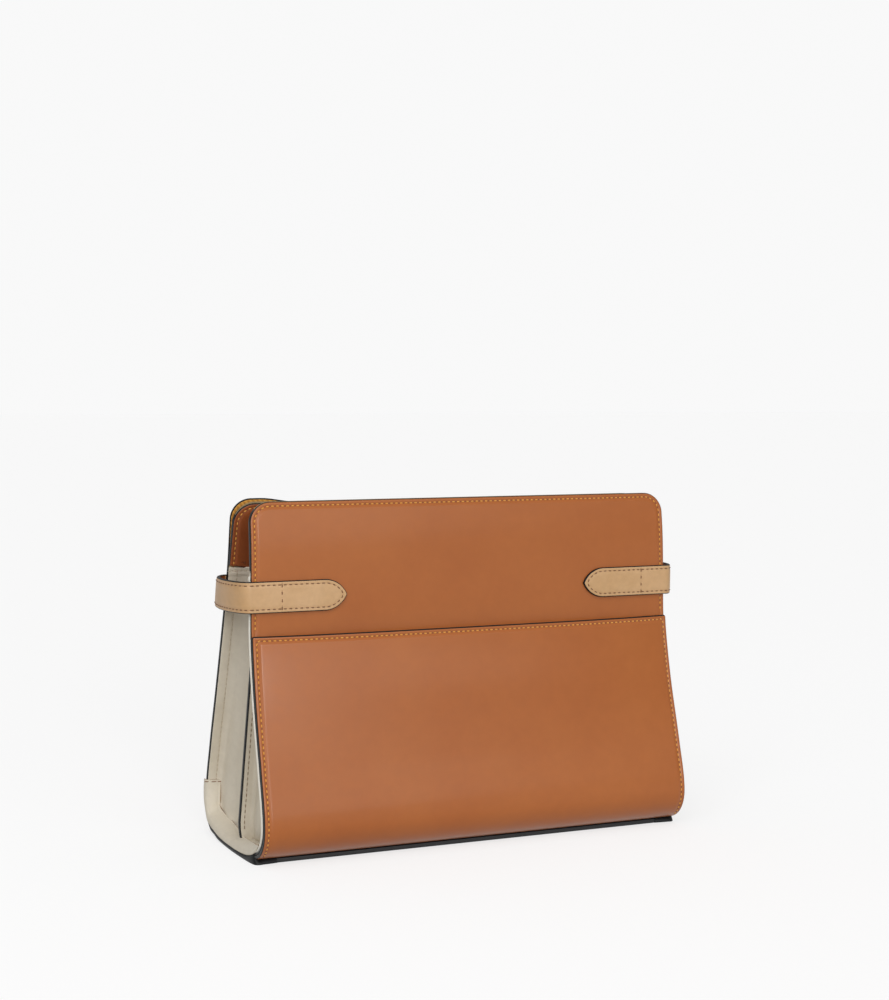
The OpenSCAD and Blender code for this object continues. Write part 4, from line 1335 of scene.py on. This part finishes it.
# Strap rows: along both edges, round the point and across the tab
def tabRows(end, side):
    steps = np.concatenate([np.linspace(-1, 0, 20), np.linspace(0, 1, 16)[1:]])
    out = strap["thick"] + strapRelief(strap["stitchIn"])
    ring = [(x, v) for x, v in (tabContour(s, strap["stitchIn"]) for s in steps)]
    ring += [(x, -v) for x, v in ring[-2::-1]]
    reach = strap["crossReach"]
    cross = [(strap["crossStitch"], v) for v in np.linspace(-reach, reach, 8)]
    rows = []
    for line, height in ((ring, out), (cross, strap["thick"] + strap["crossRise"])):
        points = np.array([tabPlace(end, side, x, v, height) for x, v in line])
        above = np.array([tabPlace(end, side, x, v, height + 1) for x, v in line])
        rows.append((points, above - points))
    return rows


def loopRows(end, side):
    path = loopPath(side)
    out = strap["thick"] + strapRelief(strap["stitchIn"])
    rows = []
    for v in (strap["half"] - strap["stitchIn"], strap["stitchIn"] - strap["half"]):
        line = np.array([loopPlace(end, side, path, k, v, out) for k in range(len(path[0]))])
        above = np.array([loopPlace(end, side, path, k, v, out + 1) for k in range(len(path[0]))])
        rows.append((line, above - line))
    return rows


tabStitches, loopStitches = {}, {}
for side in (-1, 1):
    tabStitches[side] = stitchPiece("strapStitches" + sideNames[side], tabRows(-1, side) + tabRows(1, side),
                                    brownThread, strapStitch)
    for end in (-1, 1):
        loopStitches[(end, side)] = stitchPiece(endNames[end] + "LoopStitches" + sideNames[side],
                                                loopRows(end, side), brownThread, strapStitch)


# Gusset rows: the hem, the wall flange and the ridge flange
def gussetRows(end, side):
    rows = []
    z = bag["gussetTop"] - gusset["hemStitch"]
    line = pleatLine(side, z)
    normals = lineNormals(line)
    thick = gussetThickness(side, line, z)
    hem = line + normals * (thick + gusset["stitchRise"])[:, None]
    rows.append((np.stack([end * hem[:, 0], side * hem[:, 1], np.full(len(hem), z)], 1),
                 np.stack([end * normals[:, 0], side * normals[:, 1], np.zeros(len(hem))], 1)))
    for fromEnd, distance in ((False, gusset["flangeStitch"]), (True, gusset["ridgeStitch"])):
        points, aways = [], []
        for height in np.linspace(gusset["stitchLow"], bag["gussetTop"] - gusset["stitchUnder"], 60):
            line = pleatLine(side, height)
            normals = lineNormals(line)
            thick = gussetThickness(side, line, height)
            along = wayAlong(line)
            at = along[-1] - distance if fromEnd else distance
            p = [np.interp(at, along, (line + normals * thick[:, None])[:, k]) for k in (0, 1)]
            n = [np.interp(at, along, normals[:, k]) for k in (0, 1)]
            points.append((end * p[0], side * p[1], height))
            aways.append((end * n[0], side * n[1], 0))
        rows.append((np.array(points), np.array(aways)))
    return rows


gussetStitches = {(e, s): stitchPiece(endNames[e] + "GussetStitches" + sideNames[s], gussetRows(e, s),
                                      stoneThread if s < 0 else creamThread, gussetStitch)
                  for e in (-1, 1) for s in (-1, 1)}


# A short row along the top of each foot band's upright
def footRows(end):
    grid, normals = footSurface()
    row, normal = (lines[foot["stitchRow"]][foot["stitchFrom"]:-1] for lines in (grid, normals))
    return [((row + normal * foot["thick"]) * [end, 1, 1], normal * [end, 1, 1])]


footStitches = {e: stitchPiece(endNames[e] + "FootStitches", footRows(e), brownThread, footStitch)
                for e in (-1, 1)}
print("stitches made")


# Rounded copies of plain CAD pieces
def softened(name, node, material, width, segments):
    mesh = frame["nodes"][node].data.copy()
    mesh.materials.clear()
    mesh.materials.append(material)
    work = bmesh.new()
    work.from_mesh(mesh)
    bmesh.ops.remove_doubles(work, verts=work.verts, dist=1e-6)
    bmesh.ops.dissolve_limit(work, angle_limit=math.radians(1), verts=work.verts, edges=work.edges)
    work.to_mesh(mesh)
    work.free()
    mesh.name = name
    piece = putInScene(name, mesh)
    bevel = piece.modifiers.new("round", "BEVEL")
    bevel.width = width / 1000
    bevel.segments = segments
    bevel.limit_method = "ANGLE"
    bevel.angle_limit = math.radians(40)
    graph = bpy.context.evaluated_depsgraph_get()
    rounded = bpy.data.meshes.new_from_object(piece.evaluated_get(graph))
    piece.modifiers.clear()
    piece.data = rounded
    rounded.polygons.foreach_set("use_smooth", [True] * len(rounded.polygons))
    rounded.set_sharp_from_angle(angle=math.radians(35))
    rounded.polygons.foreach_set("material_index", [0] * len(rounded.polygons))
    return piece


basePanel = softened("basePanel", "base_panel", blackLeather, 0.45, 3)
dividerBinding = softened("dividerBinding", "divider_binding", shadedFacingCalf, 0.3, 2)


# Plain solids that stay as they are
for node, material in (("base_board", fibreBoard), ("front_board", fibreBoard), ("back_board", fibreBoard),
                       ("front_magnet", platedSteel), ("back_magnet", platedSteel),
                       ("base_lining", mustardTwill)):
    mesh = frame["nodes"][node].data
    mesh.materials.clear()
    mesh.materials.append(material)

# What each piece rides on, stands for, and the finish slot listed with it
for piece, body, nodes, slot in (
        (frontPocket, "front_wall", ["front_pocket"], "tan_leather"),
        (frontPocketLining, "front_wall", ["front_pocket_lining"], "lining_cloth"),
        (frontPanel, "front_wall", ["front_panel"], "tan_leather"),
        (frontFacing, "front_wall", ["front_facing"], "facing_leather"),
        (frontLining, "front_wall", ["front_lining"], "lining_cloth"),
        (backPanel, "back_wall", ["back_panel"], "tan_leather"),
        (backPocketLining, "back_wall", ["back_pocket_lining"], "lining_cloth"),
        (backInnerPanel, "back_wall", ["back_inner_panel"], "facing_leather"),
        (backFacing, "back_wall", ["back_facing"], "facing_leather"),
        (backLining, "back_wall", ["back_lining"], "lining_cloth"),
        (basePanel, "base", ["base_panel"], "black_leather"),
        (dividerSheet, "base", ["divider"], "cream_leather"),
        (dividerBinding, "base", ["divider_binding"], "facing_leather"),
        (frontStitches, "front_wall", [], "tan_leather"),
        (backStitches, "back_wall", [], "tan_leather"),
        (tabStitches[-1], "front_wall", [], "beige_leather"),
        (tabStitches[1], "back_wall", [], "beige_leather")):
    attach(piece, body)
    if nodes:
        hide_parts(*nodes)
for end in (-1, 1):
    for pieces, slot in ((ridgeEdges, "cream_leather"), (footSeams, "cream_leather"),
                         (baseEdges, "black_leather"), (footStitches, "cream_leather"),
                         (footBands, "cream_leather")):
        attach(pieces[end], "base")
    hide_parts(endNames[end] + "_foot_band")
for (end, side), tab in tabs.items():
    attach(tab, walls[side])
    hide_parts(endNames[end] + "_strap_" + sideNames[side].lower())
for (end, side), piece in gussets.items():
    blendToWall(piece, side)
    blendToWall(gussetStitches[(end, side)], side)
    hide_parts(endNames[end] + "_gusset_" + sideNames[side].lower())
for (end, side), piece in loops.items():
    for part, slot, node in ((piece, "beige_leather", "_strap_loop"),
                             (loopLinings[(end, side)], "strap_lining_leather", "_loop_lining"),
                             (loopStitches[(end, side)], "beige_leather", None)):
        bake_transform(part, "base", walls[side], *loopBlend(side))
        if node:
            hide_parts(endNames[end] + node)


# Flat size that a sheet was cut to, from its solid: its size along one axis, and across that the
# area of the cut, which is volume over thickness
def cutSize(node, thick, axis):
    low, high = boxOf(node)
    solid = bmesh.new()
    solid.from_mesh(frame["nodes"][node].data)
    area = abs(solid.calc_volume()) / (thick / 1000)
    solid.free()
    known = (high - low)[axis] / 1000
    return known, area / known


clothThick = layers["frontLining"][1] - layers["frontLining"][0]
for piece, node, under in (
        (frontLining, "front_lining", "front_board"),
        (backLining, "back_lining", "back_board"),
        (frontPocketLining, "front_pocket_lining", "front_pocket"),
        (backPocketLining, "back_pocket_lining", "back_panel")):
    cutSize(node, clothThick, 0)
for (end, side), piece in gussets.items():
    wall = sideNames[side].lower()
    length, width = cutSize(endNames[end] + "_gusset_" + wall, gusset["thick"], 2)
print("pieces set on their bodies")


# Studio: a pale floor and surround for the camera, a dim floor for bounced light, broad soft lamps
studio = {"floorSize": 60, "background": 0.945, "floorSeen": "#9a9a9a", "floorGlow": 0.697,
          "floorBounce": "#b8b8b8", "skyLow": 0.32, "skyHigh": 0.66,
          "front": {"strength": 0.65, "angle": 14, "turn": (78, 0, -6)},
          "haze": {"strength": 0.35, "angle": 26, "turn": (76, 0, 13)},
          "broad": {"strength": 0.72, "angle": 50, "turn": (56, 0, -36)},
          "key": {"power": 1.9, "size": 0.9, "away": 1.25, "aim": 0.12, "turn": (56, 0, -36)}}
floorMesh = bpy.data.meshes.new("floor")
far = studio["floorSize"] / 2
floorMesh.from_pydata([(-far, -far, 0), (far, -far, 0), (far, far, 0), (-far, far, 0)], [],
                      [(0, 1, 2, 3)])
floor = putInScene("floor", floorMesh)
floorMaterial, floorTree, floorShader, _ = newMaterial("Painted studio floor", {
    "Roughness": 0.9, "Specular IOR Level": 0})


# 1 for what the camera sees straight or in a reflection, and 0 for bounced light
def seenShare(tree):
    rays = addNode(tree, "ShaderNodeLightPath").outputs
    straight = addNode(tree, "ShaderNodeMath", {"operation": "MAXIMUM"},
                       {0: rays["Is Camera Ray"], 1: rays["Is Glossy Ray"]})
    return addNode(tree, "ShaderNodeMath", {"operation": "MAXIMUM"},
                   {0: straight.outputs[0], 1: rays["Is Transmission Ray"]}).outputs[0]


floorSeen = seenShare(floorTree)
floorColour = addNode(floorTree, "ShaderNodeMix", {"data_type": "RGBA"}, {
    0: floorSeen, 6: toLinear(studio["floorBounce"]), 7: toLinear(studio["floorSeen"])})
floorGlow = addNode(floorTree, "ShaderNodeMath", {"operation": "MULTIPLY"},
                    {0: floorSeen, 1: studio["floorGlow"]})
floorTree.links.new(floorColour.outputs[2], floorShader.inputs["Base Color"])
floorTree.links.new(floorGlow.outputs[0], floorShader.inputs["Emission Strength"])
floorShader.inputs["Emission Color"].default_value = (1, 1, 1, 1)
floorMesh.materials.append(floorMaterial)

for name in ("front", "haze", "broad"):
    lamp = bpy.data.lights.new(name, "SUN")
    lamp.energy = studio[name]["strength"]
    lamp.angle = math.radians(studio[name]["angle"])
    putInScene(name, lamp).rotation_euler = [math.radians(a) for a in studio[name]["turn"]]

# The key stands close on the left, so its light falls off along the bag
keySpot = studio["key"]
keyLamp = bpy.data.lights.new("key", "AREA")
keyLamp.energy = keySpot["power"]
keyLamp.size = keySpot["size"]
keyObject = putInScene("key", keyLamp)
keyObject.rotation_euler = [math.radians(a) for a in keySpot["turn"]]
back = keyObject.rotation_euler.to_matrix() @ Vector((0, 0, keySpot["away"]))
keyObject.location = Vector((0, 0, keySpot["aim"])) + back

# The surround is even for the camera, and brighter overhead for the light that it gives
world = bpy.data.worlds.new("studio")
bpy.context.scene.world = world
world.use_nodes = True
sky = world.node_tree
background = sky.nodes["Background"]
upward = addNode(sky, "ShaderNodeSeparateXYZ", None,
                 {0: addNode(sky, "ShaderNodeTexCoord").outputs["Generated"]}).outputs["Z"]
dome = addNode(sky, "ShaderNodeMapRange", None,
               {"Value": upward, "To Min": studio["skyLow"], "To Max": studio["skyHigh"]})
cameraRay = addNode(sky, "ShaderNodeLightPath").outputs["Is Camera Ray"]
strength = addNode(sky, "ShaderNodeMix", {"data_type": "FLOAT"},
                   {0: cameraRay, 2: dome.outputs["Result"], 3: studio["background"]})
sky.links.new(strength.outputs[0], background.inputs["Strength"])
background.inputs["Color"].default_value = (1, 1, 1, 1)

bpy.context.scene.view_settings.view_transform = "Standard"
